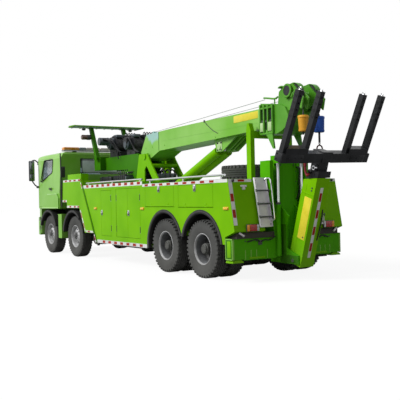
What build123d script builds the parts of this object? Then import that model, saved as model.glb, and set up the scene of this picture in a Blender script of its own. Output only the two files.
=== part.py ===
"""Heavy recovery truck, 8x4: boom crane, underlift and tool bodies. Millimetres.

X points forward, Y to the left and Z up. Long places are stations: distances behind the first axle.
"""
from build123d import *
import math
import os

# ---- layout -------------------------------------------------------------------------------------
ORIGIN_STATION = 4640          # the part's origin lies this far behind the first axle
AXLE_1 = 0
AXLE_2 = AXLE_1 + 1850
AXLE_3 = AXLE_2 + 4950
AXLE_4 = AXLE_3 + 1370
HALF_WIDTH = 1250
MOVING_GAP = 6                 # clearance round doors and slides
PIN_GAP = 2                    # clearance of a pin in its bore
FIT = 1                        # gap between parts that are set face to face

# ---- wheels and axles ---------------------------------------------------------------------------
TYRE_R = 540
TYRE_W = 290
RIM_R = 286
RIM_T = 20
TWIN_PITCH = 340
FRONT_HUB_Y = 1030
REAR_HUB_Y = 920
HUB_R = 110
KINGPIN_Y = 860
KINGPIN_R = 60
STUB_R = 40
AXLE_TUBE_R = 72
SPRING_Y = (455, 545)

# ---- frame --------------------------------------------------------------------------------------
FRAME_TOP = 1000
RAIL_H = 290
RAIL_T = 12
RAIL_FLANGE = 80
FRAME_Y = 430                  # outer face of each rail
FRAME_FRONT = -1140
FRAME_REAR = 8966
CROSS_MEMBERS = (-1080, 1000, 2500, 4000, 5400, 7485, 8700)

# ---- cab ----------------------------------------------------------------------------------------
CAB_FRONT = -1350
CAB_REAR = 1000
ARCH_R = TYRE_R + 150
CAB_FLOOR = TYRE_R + ARCH_R + 40
CAB_ROOF = 2830
CAB_WALL = 50
DOOR_FRONT = -850
DOOR_REAR = 450
DOOR_SILL = CAB_FLOOR + 60
DOOR_TOP = 2690
FENDER_LINE = ((-380, CAB_FLOOR), (-120, CAB_FLOOR + 330), (80, CAB_FLOOR + 405))
FENDER_REAR = 960
FENDER_PROUD = 35

# ---- tool bodies --------------------------------------------------------------------------------
BODY_INNER_Y = 592
BODY_WALL = 30
BODY_BOTTOM = 450
BODY_TOP = 1860
REAR_TOP = 1800
TOP_STEP = 5890
BODY_ARCH_R = 720
ARCH_FLOOR = TYRE_R + BODY_ARCH_R + 25
TAIL_TOP = 9070
TAIL_BOTTOM = 9250
WELL_FLOOR = 1450
DECK_T = 40
DOOR_T = 26

# ---- crane --------------------------------------------------------------------------------------
BOOM_PIVOT = (4350, 2490)
BOOM_SLOPE = 1.3               # degrees up towards the tip
BOOM_HALF = 300
BOOM_WALL = 14
BOOM_END = 8790
BOOM_END_Z = 2897              # axis height at the tip of the outer box
INNER_H = 318
TOWER_Y = 335
TOWER_T = 32
LIFT_BASE = (5160, 1665)
LIFT_EYE = (7300, 2495)
LIFT_Y = 115
BARREL_R = 98
ROD_R = 50
SHEAVE = (9645, 3235)
SHEAVE_R = 180
SHEAVE_Y = 180
ROPE_R = 8
WEIGHT_R = 98

# ---- underlift ----------------------------------------------------------------------------------
ARM_PIVOT = (9505, 350)
ARM_PIN_R = 35
ARM_LEAN = 17.5                # degrees back from upright when folded
ARM_W = 300
ARM_D = 330
ARM_L = 1488                   # along the arm's axis; the top is cut level
NECK_W = 210
NECK_D = 190
BAR_H = 1890                   # crossbar axis above the pivot, along the arm
BAR_HALF = 1040
BAR_SIZE = 165
BAR_BACK = 60                  # the bar lies this far behind its pin
BAR_SWING = 4                  # degrees that the bar stands turned at rest
FORK_LEAN = 25
FORK_SIZE = 96
FORK_L = 1110
FORKS_Y = (500, 975)
COLUMN = (8930, 9160)
COLUMN_HALF = 225
COLUMN_TOP = 2130
MAST_POST_TOP = 2120
LEG_Y = HALF_WIDTH - 115
LEG_SIZE = 130


def at(station):
    """X of a station."""
    return ORIGIN_STATION - station


def block(stations, across, heights):
    """Box between two stations, two Y values and two heights."""
    size = [abs(b - a) for a, b in (stations, across, heights)]
    middle = [(a + b) / 2 for a, b in (stations, across, heights)]
    return Pos(at(middle[0]), middle[1], middle[2]) * Box(*size)


def prism(corners, travel):
    return Part() + Solid.extrude(Face(Wire.make_polygon(corners, close=True)), Vector(*travel))


def side_prism(outline, y0, y1):
    """Outline of (station, height) corners, carried from y0 to y1."""
    return prism([(at(s), y0, z) for s, z in outline], (0, y1 - y0, 0))


def plan_prism(outline, z0, z1):
    """Outline of (station, y) corners, carried from z0 to z1."""
    return prism([(at(s), y, z0) for s, y in outline], (0, 0, z1 - z0))


def cross_prism(outline, s0, s1):
    """Outline of (y, height) corners, carried from station s0 to s1."""
    return prism([(at(s0), y, z) for y, z in outline], (s0 - s1, 0, 0))


def rod(a, b, radius):
    """Round bar between two (station, y, height) points."""
    start = Vector(at(a[0]), a[1], a[2])
    end = Vector(at(b[0]), b[1], b[2])
    run = end - start
    return Plane(origin=start, z_dir=run) * Cylinder(
        radius, run.length, align=(Align.CENTER, Align.CENTER, Align.MIN))


def pair(piece):
    """The piece with its mirror image on the other side."""
    return piece + mirror(piece, about=Plane.XZ)


def other_side(piece):
    return mirror(piece, about=Plane.XZ)


# ---- wheels -------------------------------------------------------------------------------------
def ring(profile):
    """Solid of revolution about Y from (radius, y) corners."""
    face = Face(Wire.make_polygon([(r, y, 0) for r, y in profile], close=True))
    return Part() + Solid.revolve(face, 360, Axis.Y)


def tyre(y):
    half = TYRE_W / 2
    wall = RIM_R + 0.6 * (TYRE_R - RIM_R)
    profile = [(RIM_R, y - 0.8 * half), (wall, y - half), (TYRE_R - 22, y - half + 6), (TYRE_R, y - half + 34),
               (TYRE_R, y + half - 34), (TYRE_R - 22, y + half - 6), (wall, y + half), (RIM_R, y + 0.8 * half)]
    return ring(profile)


def rim(y):
    half = 0.8 * TYRE_W / 2
    return ring([(RIM_R - RIM_T, y - half), (RIM_R, y - half), (RIM_R, y + half), (RIM_R - RIM_T, y + half)])


def disc(rim_y, hub_y):
    return ring([(HUB_R - 5, hub_y - RIM_T), (RIM_R - RIM_T / 2, rim_y - RIM_T), (RIM_R - RIM_T / 2, rim_y),
                 (HUB_R - 5, hub_y)])


def hub(y0, y1, bore_r, bore_end):
    return ring([(bore_r, y0), (HUB_R, y0), (HUB_R, y1 - 15), (HUB_R - 15, y1), (0, y1), (0, bore_end),
                 (bore_r, bore_end)])


def front_wheel(station):
    wheel = tyre(0) + rim(0) + disc(40, 105) + hub(-60, 140, STUB_R + PIN_GAP, 40)
    return Pos(at(station), FRONT_HUB_Y, TYRE_R) * wheel


def rear_wheel(station):
    half = TWIN_PITCH / 2
    wheel = tyre(half) + rim(half) + tyre(-half) + rim(-half)
    wheel += disc(half - 90, 15) + disc(-half + 90 + RIM_T, 15) + hub(-120, 280, AXLE_TUBE_R + PIN_GAP, 70)
    return Pos(at(station), REAR_HUB_Y, TYRE_R) * wheel


def knuckle(station):
    """Kingpin jaws above and below the beam eye, with the stub axle."""
    jaws = Part()
    for low in (TYRE_R - 130, TYRE_R + 85):
        jaws += rod((station, KINGPIN_Y, low), (station, KINGPIN_Y, low + 45), KINGPIN_R)
    back = block((station - 45, station + 45), (KINGPIN_Y + KINGPIN_R + 10, KINGPIN_Y + KINGPIN_R + 45),
                 (TYRE_R - 130, TYRE_R + 130))
    arms = Part()
    for low in (TYRE_R - 130, TYRE_R + 85):
        arms += block((station - 45, station + 45), (KINGPIN_Y, KINGPIN_Y + KINGPIN_R + 12), (low, low + 45))
    stub = rod((station, KINGPIN_Y + KINGPIN_R + 20, TYRE_R), (station, FRONT_HUB_Y + 35, TYRE_R), STUB_R)
    return jaws + back + arms + stub


def running_gear():
    """Front beams, rear axle tubes with their differentials, leaf springs and shafts."""
    gear = Part()
    inner = KINGPIN_Y - KINGPIN_R - 8
    for station in (AXLE_1, AXLE_2):
        eye = rod((station, KINGPIN_Y, TYRE_R - 82), (station, KINGPIN_Y, TYRE_R + 82), KINGPIN_R - 8)
        beam = block((station - 45, station + 45), (0, inner), (TYRE_R - 150, TYRE_R - 40))
        riser = block((station - 45, station + 45), (inner - 90, inner), (TYRE_R - 150, TYRE_R + 70))
        link = block((station - 40, station + 40), (inner - 5, KINGPIN_Y - 20), (TYRE_R - 70, TYRE_R + 70))
        gear += pair(beam + riser + link + eye) + spring_pack(station, 680, TYRE_R - 40, FRAME_TOP - RAIL_H)
    for station in (AXLE_3, AXLE_4):
        gear += rod((station, -REAR_HUB_Y - 50, TYRE_R), (station, REAR_HUB_Y + 50, TYRE_R), AXLE_TUBE_R)
        gear += rod((station - 190, 0, TYRE_R), (station + 190, 0, TYRE_R), 190)
    middle = (AXLE_3 + AXLE_4) / 2
    low = TYRE_R + AXLE_TUBE_R - 8
    leaf = [(AXLE_3 - 90, low), (AXLE_4 + 90, low), (AXLE_4 + 90, low + 30), (middle + 150, low + 120),
            (middle - 150, low + 120), (AXLE_3 - 90, low + 30)]
    bogie = side_prism(leaf, *SPRING_Y)
    bogie += block((middle - 110, middle + 110), (FRAME_Y + FIT, SPRING_Y[1]), (low - 90, low + 110))
    gear += pair(bogie)
    gear += rod((620, 0, 790), (AXLE_3 - 180, 0, TYRE_R + 60), 55)
    gear += rod((AXLE_3 + 150, 0, TYRE_R), (AXLE_4 - 150, 0, TYRE_R), 50)
    return gear


def spring_pack(station, reach, seat, frame_bottom):
    """Leaf spring on an axle, hung from two brackets under the frame rail."""
    end = frame_bottom - 60
    leaf = [(station - reach, end - 14), (station, seat), (station + reach, end - 14), (station + reach, end),
            (station, seat + 70), (station - reach, end)]
    pack = side_prism(leaf, SPRING_Y[0] - 85, SPRING_Y[1] - 85)
    for place in (station - reach, station + reach):
        pack += block((place - 35, place + 35), (SPRING_Y[0] - 85, SPRING_Y[1] - 85), (end - 16, frame_bottom - FIT))
    return pair(pack)


def frame():
    rail = block((FRAME_FRONT, FRAME_REAR), (FRAME_Y - RAIL_FLANGE, FRAME_Y), (FRAME_TOP - RAIL_H, FRAME_TOP))
    rail -= block((FRAME_FRONT, FRAME_REAR), (FRAME_Y - RAIL_FLANGE - 1, FRAME_Y - RAIL_T),
                  (FRAME_TOP - RAIL_H + RAIL_T, FRAME_TOP - RAIL_T))
    whole = pair(rail)
    for station in CROSS_MEMBERS:
        whole += block((station - 50, station + 50), (-FRAME_Y + RAIL_T / 2, FRAME_Y - RAIL_T / 2),
                       (FRAME_TOP - 130, FRAME_TOP - RAIL_T / 2))
    tail = side_prism([(8962, 762), (9200, 762), (9200, 862), (8962, 786)], FRAME_Y - RAIL_FLANGE, 1170)
    return whole + pair(tail)


def engine():
    return block((-950, 600), (-330, 330), (580, FRAME_TOP + 200))


# ---- cab ----------------------------------------------------------------------------------------
def cab_solid(inset):
    """The cab's outer form, drawn in by an inset on every side."""
    side = [(CAB_FRONT + inset, CAB_FLOOR + inset), (CAB_FRONT + inset, 1720),
            (CAB_FRONT + 150 + inset, CAB_ROOF - 320), (CAB_FRONT + 330 + inset, CAB_ROOF - 90 - inset / 2), (CAB_FRONT + 560 + inset, CAB_ROOF - inset),
            (CAB_REAR - 60 - inset, CAB_ROOF - inset), (CAB_REAR - inset, CAB_ROOF - 60 - inset),
            (CAB_REAR - inset, CAB_FLOOR + inset)]
    half_plan = [(CAB_REAR - inset, HALF_WIDTH - inset), (DOOR_FRONT - 20, HALF_WIDTH - 55 - inset),
                 (DOOR_FRONT - 260, HALF_WIDTH - 150 - inset), (CAB_FRONT + inset, 880 - inset / 2)]
    plan = half_plan + [(s, -y) for s, y in reversed(half_plan)]
    half_front = [(HALF_WIDTH - inset, CAB_FLOOR + inset), (HALF_WIDTH - inset, 1750),
                  (HALF_WIDTH - 55 - inset, CAB_ROOF - 170), (HALF_WIDTH - 130 - inset, CAB_ROOF - 40 - inset / 2),
                  (HALF_WIDTH - 230 - inset, CAB_ROOF - inset)]
    front = half_front + [(-y, z) for y, z in reversed(half_front)]
    form = side_prism(side, -HALF_WIDTH, HALF_WIDTH) & plan_prism(plan, CAB_FLOOR, CAB_ROOF)
    return form & cross_prism(front, CAB_FRONT, CAB_REAR)


def door_window(gap):
    outline = [(DOOR_REAR - 60 - gap, 2655 - gap), (DOOR_REAR - 70 - gap, 2280 + gap),
               (-580 + gap, 2030 + gap), (-340 + gap, 2655 - gap)]
    return side_prism(outline, HALF_WIDTH - 260, HALF_WIDTH + 20)


def windscreen(gap):
    return cross_prism([(-1010 + gap, 1790 + gap), (1010 - gap, 1790 + gap), (950 - gap, CAB_ROOF - 320 - gap),
                        (-950 + gap, CAB_ROOF - 320 - gap)], CAB_FRONT - 20, CAB_FRONT + 420)


def rear_window(gap):
    return block((CAB_REAR - 120, CAB_REAR + 20), (-630 + gap, 630 - gap), (2210 + gap, 2650 - gap))


def door_prism(gap):
    """Doorway outline, cut away over the fender and grown by a gap."""
    line = fender_line(gap)
    outline = [(DOOR_FRONT - gap, CAB_FLOOR), *line, (DOOR_REAR + gap, line[-1][1]), (DOOR_REAR + gap, DOOR_TOP + gap),
               (DOOR_FRONT - gap, DOOR_TOP + gap)]
    opening = side_prism(outline, HALF_WIDTH - 240, HALF_WIDTH + 20)
    return opening & block((DOOR_FRONT - 20, DOOR_REAR + 20), (0, HALF_WIDTH + 30), (DOOR_SILL - gap, CAB_ROOF))


def fender_line(gap):
    """Front and top edge of the fender, let in by a gap."""
    return [(s + gap, z if z == CAB_FLOOR else z - gap) for s, z in FENDER_LINE]


def door_hinge_y():
    """Y of the cab door's hinge axis, half a wall inside the skin."""
    return HALF_WIDTH - 55 - CAB_WALL / 2


def cab_shell():
    shell = cab_solid(0) - cab_solid(CAB_WALL)
    shell -= windscreen(0)
    shell -= rear_window(0)
    shell -= pair(door_prism(MOVING_GAP))
    hinge = rod((DOOR_FRONT, door_hinge_y(), DOOR_SILL - MOVING_GAP), (DOOR_FRONT, door_hinge_y(), DOOR_TOP + MOVING_GAP),
                CAB_WALL / 2 + MOVING_GAP + 4)
    line = fender_line(MOVING_GAP + FIT)
    top = line[-1][1]
    fender = side_prism([*line, (FENDER_REAR - 90, top), (FENDER_REAR, top - 115), (FENDER_REAR, CAB_FLOOR)],
                        HALF_WIDTH - 60, HALF_WIDTH + FENDER_PROUD)
    return shell - pair(hinge) + pair(fender - cab_solid(CAB_WALL))


def cab_door():
    """Left door: a slice of the cab's wall with a round hinge edge and a window."""
    wall = cab_solid(0) - cab_solid(CAB_WALL)
    door = wall & door_prism(0)
    door += rod((DOOR_FRONT, door_hinge_y(), DOOR_SILL), (DOOR_FRONT, door_hinge_y(), DOOR_TOP - 60), CAB_WALL / 2)
    door -= door_window(0)
    handle = block((DOOR_REAR - 230, DOOR_REAR - 80), (HALF_WIDTH - 30, HALF_WIDTH + 12),
                   (CAB_FLOOR + 530, CAB_FLOOR + 580))
    return door + handle


def door_glass():
    return (cab_solid(18) - cab_solid(30)) & door_window(3)


def cab_glass():
    skin = cab_solid(18) - cab_solid(30)
    return (skin & windscreen(3)) + (skin & rear_window(3))


def cab_interior():
    """Two seats, the dashboard, the wheel and the engine cover."""
    floor = CAB_FLOOR + CAB_WALL + FIT
    fit_out = block((CAB_FRONT + 120, CAB_FRONT + 420), (-880, 880), (floor + 160, floor + 420))
    fit_out += block((CAB_FRONT + 120, CAB_FRONT + 300), (-880, 880), (floor, floor + 161))
    fit_out += block((-700, 200), (-260, 260), (floor, floor + 220))
    fit_out += block((CAB_REAR - 560, CAB_REAR - 60), (-1050, 1050), (floor, floor + 380))
    for y in (-640, 640):
        fit_out += block((-250, 280), (y - 250, y + 250), (floor, floor + 400))
        fit_out += block((200, 330), (y - 230, y + 230), (floor + 380, floor + 1000))
    fit_out += rod((CAB_FRONT + 380, 640, floor + 380), (CAB_FRONT + 580, 640, floor + 560), 30)
    wheel = Plane(origin=(at(CAB_FRONT + 580), 640, floor + 560), z_dir=(-200, 0, 180)) * Torus(215, 18)
    spokes = Plane(origin=(at(CAB_FRONT + 580), 640, floor + 560), z_dir=(-200, 0, 180)) * Box(40, 430, 16)
    return (fit_out + wheel + spokes) & cab_solid(CAB_WALL + FIT)


def cab_skirts():
    """Bumper with its step boxes ahead of the front wheels and guard strips behind them."""
    bumper = plan_prism([(CAB_FRONT - 50, -800), (CAB_FRONT - 50, 800), (CAB_FRONT + 200, 1120), (DOOR_FRONT, 1180),
                         (DOOR_FRONT, 700), (CAB_FRONT + 130, 700), (CAB_FRONT + 130, -700), (DOOR_FRONT, -700),
                         (DOOR_FRONT, -1180), (CAB_FRONT + 200, -1120)], 490, 1000)
    step = plan_prism([(CAB_FRONT + 230, 1090), (DOOR_FRONT + 140, 1180), (DOOR_FRONT + 140, 800),
                       (CAB_FRONT + 230, 800)], 540, CAB_FLOOR - FIT)
    whole = bumper + pair(step)
    whole += block((CAB_FRONT + 10, CAB_FRONT + 120), (-700, 700), (990, CAB_FLOOR - FIT))
    guard = block((750, 1000), (1000, 1210), (460, 1110)) - block((749, 985), (999, 1195), (459, 1111))
    lip = block((720, 1000), (1000, 1210), (1095, 1115))
    return whole + pair(guard + lip)


def wheel_arch(station, radius, y0, y1, thickness, low, reach):
    """Arched strip over a wheel, between two limits ahead of and behind the axle."""
    outer = rod((station, y0, TYRE_R), (station, y1, TYRE_R), radius)
    inner = rod((station, y0 - 1, TYRE_R), (station, y1 + 1, TYRE_R), radius - thickness)
    box = block((station - reach[0], station + reach[1]), (y0 - 2, y1 + 2), (low, TYRE_R + radius + 1))
    return (outer - inner) & box


def arch_liners():
    outer = HALF_WIDTH - 25
    liners = wheel_arch(AXLE_1, ARCH_R, 800, outer, 25, TYRE_R + 360, (ARCH_R, ARCH_R))
    liners += wheel_arch(AXLE_2, ARCH_R, 800, outer, 25, TYRE_R + 100, (ARCH_R, ARCH_R))
    half = (AXLE_4 - AXLE_3) / 2
    radius = BODY_ARCH_R - FIT
    liners += wheel_arch(AXLE_3, radius, 620, HALF_WIDTH - 5, 22, TYRE_R, (radius, half))
    liners += wheel_arch(AXLE_4, radius, 620, HALF_WIDTH - 5, 22, TYRE_R + 310, (half, radius))
    return pair(liners)


def headlamps():
    lamps = block((CAB_FRONT - 75, CAB_FRONT - 50), (560, 790), (760, 900))
    wing_lamps = rod((1470, 700, 3430), (1470, 700, 3385), 55)
    return pair(lamps + wing_lamps)


def mirrors():
    """Mirror housing on two arms at the front pillar."""
    head = block((-905, -835), (1330, 1500), (2080, 2680))
    arms = rod((-915, 1110, 2600), (-875, 1400, 2640), 14) + rod((-915, 1150, 1900), (-875, 1400, 2120), 14)
    pads = block((-945, -888), (1080, 1160), (1870, 1930)) + block((-945, -888), (1060, 1140), (2560, 2630))
    mirror_set = head + arms + pads
    return pair(mirror_set - cab_solid(-FIT))


def beacon_bar():
    bar = block((760, 960), (-1080, 1080), (CAB_ROOF + 20, CAB_ROOF + 110))
    feet = block((790, 930), (700, 780), (CAB_ROOF + FIT, CAB_ROOF + 21))
    return bar + pair(feet)


# ---- tool bodies --------------------------------------------------------------------------------
# name: (first station, last station, sill, top, hinge edge)
TOOL_DOORS = {
    "locker": (3750, 4310, 640, 1700, "rear"),
    "tall_front": (4580, 5166, 640, 1720, "front"),
    "tall_rear": (5172, 5770, 640, 1720, "rear"),
    "arch_front": (6020, 7210, ARCH_FLOOR + 35, 1740, "bottom"),
    "arch_rear": (7390, 8600, ARCH_FLOOR + 25, 1730, "bottom"),
}
# (first station, last station, floor, ceiling) of each compartment
COMPARTMENTS = (
    (3640, 4420, 520, 1760),
    (4460, 5890, 520, 1760),
    (5960, 7270, ARCH_FLOOR, 1750),
    (7310, 8700, ARCH_FLOOR, 1750),
)


def body_outline():
    return [(2640, BODY_TOP), (TOP_STEP, BODY_TOP), (TOP_STEP, REAR_TOP), (TAIL_TOP, REAR_TOP),
            (TAIL_BOTTOM, 890), (8960, 790), (8960, BODY_BOTTOM + 30), (3480, BODY_BOTTOM)]


def front_locker():
    """Side panel box behind the cab, cut away over the second axle."""
    panel = side_prism([(1280, 2030), (2460, 2030), (3260, 680), (2720, 670), (2380, 1290), (1525, 1290),
                        (1525, 1440), (1210, 1440)], HALF_WIDTH - 60, HALF_WIDTH)
    box = side_prism([(1320, 1990), (2440, 1990), (3200, 700), (2740, 700), (2440, 1290), (1525, 1290),
                      (1525, 1460), (1320, 1460)], 700, HALF_WIDTH - 50)
    top = block((1500, 2420), (1000, 1200), (1985, 2170))
    return panel + box + top


def tool_body():
    """Left tool body: a hollow box with one compartment behind each door or pair of doors."""
    body = side_prism(body_outline(), BODY_INNER_Y, HALF_WIDTH)
    for station in (AXLE_3, AXLE_4):
        body -= rod((station, BODY_INNER_Y - 1, TYRE_R), (station, HALF_WIDTH + 1, TYRE_R), BODY_ARCH_R)
    body -= block((AXLE_3, 9000), (BODY_INNER_Y - 1, HALF_WIDTH + 1), (BODY_BOTTOM - 50, TYRE_R + 120))
    for first, last, floor, ceiling in COMPARTMENTS:
        body -= block((first, last), (BODY_INNER_Y + BODY_WALL, HALF_WIDTH - DOOR_T - MOVING_GAP), (floor, ceiling))
    for name, (first, last, sill, top, edge) in TOOL_DOORS.items():
        body -= block((first - MOVING_GAP, last + MOVING_GAP),
                      (HALF_WIDTH - DOOR_T - MOVING_GAP - 1, HALF_WIDTH + 1), (sill - MOVING_GAP, top + MOVING_GAP))
        body -= door_edge(name, DOOR_T / 2 + MOVING_GAP + 1, MOVING_GAP)
    rail = rod((2780, 1200, 1905), (5790, 1200, 1905), 18) + rod((6030, 1200, 1875), (8920, 1200, 1875), 18)
    for station in (2900, 4300, 5700):
        rail += rod((station, 1200, BODY_TOP - 5), (station, 1200, 1905), 12)
    for station in (6150, 7500, 8800):
        rail += rod((station, 1200, REAR_TOP - 5), (station, 1200, 1875), 12)
    return body + rail + front_locker()


def door_edge(name, radius, past):
    """Round bar along a door's hinge edge."""
    first, last, sill, top, edge = TOOL_DOORS[name]
    y = HALF_WIDTH - DOOR_T / 2
    r = DOOR_T / 2
    if edge == "bottom":
        return rod((first - past, y, sill + r), (last + past, y, sill + r), radius)
    station = first + r if edge == "front" else last - r
    return rod((station, y, sill - past), (station, y, top + past), radius)


def tool_door(name):
    """Flat door, round along its hinge edge, with a latch plate."""
    first, last, sill, top, edge = TOOL_DOORS[name]
    r = DOOR_T / 2
    limits = {"rear": (first, last - r, sill), "front": (first + r, last, sill), "bottom": (first, last, sill + r)}
    start, end, low = limits[edge]
    door = block((start, end), (HALF_WIDTH - DOOR_T, HALF_WIDTH), (low, top)) + door_edge(name, r, 0)
    if edge == "bottom":
        latch = block(((first + last) / 2 - 40, (first + last) / 2 + 40), (HALF_WIDTH - 5, HALF_WIDTH + 10),
                      (top - 75, top - 25))
    else:
        free = first + 55 if edge == "rear" else last - 55
        latch = block((free - 30, free + 30), (HALF_WIDTH - 5, HALF_WIDTH + 10), (1130, 1230))
    return door + latch


def deck():
    """Floor of the crane well, the rear deck and the subframe that carries them."""
    y = BODY_INNER_Y - FIT
    plate = block((1300, 6200), (-y, y), (WELL_FLOOR - DECK_T, WELL_FLOOR))
    plate += block((6160, 8840), (-y, y), (REAR_TOP - DECK_T, REAR_TOP))
    plate += block((6160, 6200), (-y, y), (WELL_FLOOR - DECK_T, REAR_TOP))
    plate += pair(block((1300, 8840), (300, 360), (FRAME_TOP + FIT, WELL_FLOOR - DECK_T + 1)))
    plate += pair(block((6200, 8840), (300, 360), (WELL_FLOOR - DECK_T, REAR_TOP - DECK_T + 1)))
    for station in (1340, 3400, 5400, 8700):
        plate += block((station - 40, station + 40), (-y, y), (FRAME_TOP + FIT, WELL_FLOOR - DECK_T + 1))
    return plate


# ---- crane --------------------------------------------------------------------------------------
def boom_z(station, offset):
    """Height of a line along the boom, offset from its axis."""
    return BOOM_END_Z - (BOOM_END - station) * math.tan(math.radians(BOOM_SLOPE)) + offset


def turret():
    """Tower of two A plates on a round base, with the lift cylinders' brackets."""
    inner = TOWER_Y
    plate = side_prism([(3780, WELL_FLOOR + 140), (4060, 2560), (4480, 2560), (4570, 2420), (5300, WELL_FLOOR + 140)],
                       inner, inner + TOWER_T)
    plate -= side_prism([(4330, WELL_FLOOR + 300), (4330, 2180), (4420, 2270), (4500, 2200), (4880, WELL_FLOOR + 300)],
                        inner - 1, inner + TOWER_T + 1)
    base = rod((4500, 0, WELL_FLOOR + FIT), (4500, 0, WELL_FLOOR + 141), 560)
    base += block((3780, 5330), (-TOWER_Y - TOWER_T, TOWER_Y + TOWER_T), (WELL_FLOOR + 60, WELL_FLOOR + 141))
    tube = rod((4640, -TOWER_Y, 2260), (4640, TOWER_Y, 2260), 48)
    pin = rod((BOOM_PIVOT[0], TOWER_Y - 5, BOOM_PIVOT[1]), (BOOM_PIVOT[0], TOWER_Y + TOWER_T + 25, BOOM_PIVOT[1]), 70)
    ears = Part()
    for y in (LIFT_Y - 80, LIFT_Y + 52):
        ears += side_prism([(LIFT_BASE[0] - 80, WELL_FLOOR + 139), (LIFT_BASE[0] - 60, LIFT_BASE[1] + 60),
                            (LIFT_BASE[0] + 60, LIFT_BASE[1] + 60), (LIFT_BASE[0] + 80, WELL_FLOOR + 139)], y, y + 28)
    return base + tube + pair(plate + pin)


def winch_platform():
    """Beams that carry the winches ahead of the tower, with the lamp wing on its legs."""
    beam = side_prism([(1960, 2270), (3150, 2230), (3900, 2230), (3900, 2560), (1960, 2600)], 260, 300)
    post = block((1570, 1960), (200, 450), (2280, 2630))
    brace = side_prism([(3900, 1760), (3900, 2250), (3100, 2250), (3060, 2235), (3760, 1760)], 270, 300)
    arms = block((3880, 3940), (260, TOWER_Y), (2300, 2540)) + block((3930, 4060), (310, TOWER_Y), (2300, 2540))
    top = block((1960, 3900), (-300, 300), (2540, 2600))
    front = block((1600, 1930), (-200, 200), (2330, 2600))
    leg = side_prism([(1400, 3470), (1500, 3470), (1900, 2620), (1780, 2620)], 430, 530)
    foot = block((1760, 1920), (420, 540), (2560, 2625))
    wing = side_prism([(1210, 3470), (1660, 3470), (1640, 3500), (1260, 3510)], -1040, 1040)
    return pair(beam + post + brace + arms + leg + foot) + top + front + wing


def winches():
    """Two winch drums with their side frames and motors."""
    unit = Part()
    for station, height, reach in ((2420, 2920, 680), (3420, 2850, 430)):
        unit += rod((station, -250, height), (station, 250, height), 190)
        for y in (-275, 250):
            unit += rod((station, y, height), (station, y + 25, height), 235)
            unit += block((station - 200, station + 200), (y, y + 25), (2601, height))
        unit += rod((station, 270, height + 80), (station, reach, height + 80), 100)
        unit += rod((station, -270, height), (station, -400, height), 110)
        unit += block((station + 210, station + 260), (-275, 275), (2601, 2740))
        unit += block((station - 200, station + 261), (-275, -250), (2601, 2660))
        unit += block((station - 200, station + 261), (250, 275), (2601, 2660))
    return unit


def boom_outer():
    """Outer box of the boom with its root cheeks, hollow for the sliding section."""
    shape = side_prism([(4040, 2600), (4330, 3010), (5400, 3045), (BOOM_END, 3085), (BOOM_END, 2710),
                        (4960, 2590), (4560, 2450), (4300, 2400), (4200, 2440)], -BOOM_HALF, BOOM_HALF)
    half = INNER_H / 2 + MOVING_GAP
    start, end = 4960, BOOM_END + 50
    hollow = side_prism([(start, boom_z(start, -half)), (end, boom_z(end, -half)), (end, boom_z(end, half)),
                         (start, boom_z(start, half))], -BOOM_HALF + BOOM_WALL, BOOM_HALF - BOOM_WALL)
    shape -= hollow
    boss = rod((BOOM_PIVOT[0], BOOM_HALF - 5, BOOM_PIVOT[1]), (BOOM_PIVOT[0], TOWER_Y - 10, BOOM_PIVOT[1]), 95)
    ears = Part()
    for y in (LIFT_Y - 85, LIFT_Y + 55):
        ears += side_prism([(LIFT_EYE[0] - 200, 2688), (LIFT_EYE[0] - 110, LIFT_EYE[1] - 85),
                            (LIFT_EYE[0] + 95, LIFT_EYE[1] - 85), (LIFT_EYE[0] + 640, 2695)], y, y + 30)
    return shape + pair(boss + ears)


def boom_inner():
    """Sliding box, the head plates and the two sheave heads."""
    half = INNER_H / 2
    y = BOOM_HALF - BOOM_WALL - MOVING_GAP
    start, end = 5050, BOOM_END + 30
    box = side_prism([(start, boom_z(start, -half)), (end, boom_z(end, -half)), (end, boom_z(end, half)),
                      (start, boom_z(start, half))], -y, y)
    box -= side_prism([(start - 1, boom_z(start, -half + 14)), (end - 40, boom_z(end, -half + 14)),
                       (end - 40, boom_z(end, half - 14)), (start - 1, boom_z(start, half - 14))], -y + 14, y - 14)
    head = side_prism([(BOOM_END + 20, 2600), (BOOM_END + 20, 3180), (9330, 3110), (9500, 3040), (9580, 2900),
                       (9560, 2720), (9400, 2630), (9250, 2590)], -BOOM_HALF, BOOM_HALF)
    cheeks = Part()
    for y0 in (SHEAVE_Y - 75, SHEAVE_Y + 45):
        cheeks += side_prism([(9240, 3000), (9290, 3330), (9420, 3410), (9660, 3430), (9930, 3150), (9880, 2960),
                              (9760, 3070), (9560, 2970)], y0, y0 + 30)
    swivel = rod((9560, SHEAVE_Y + 60, 3310), (9560, BOOM_HALF, 3310), 100)
    wheel = rod((SHEAVE[0], SHEAVE_Y - 40, SHEAVE[1]), (SHEAVE[0], SHEAVE_Y + 40, SHEAVE[1]), SHEAVE_R)
    axle = rod((SHEAVE[0], SHEAVE_Y - 80, SHEAVE[1]), (SHEAVE[0], SHEAVE_Y + 80, SHEAVE[1]), 45)
    horns = rod((8790, 200, 3290), (9150, 200, 3230), 12) + rod((9100, 200, 3235), (9100, 200, 3100), 12)
    hanger = side_prism([(9000, 2610), (9180, 2610), (9230, 2330), (9190, 2330)], 305, 335)
    hanger += block((9000, 9170), (BOOM_HALF - 5, 335), (2600, 2680))
    return box + head + pair(cheeks + wheel + axle + horns + swivel) + pair(hanger)


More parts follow.
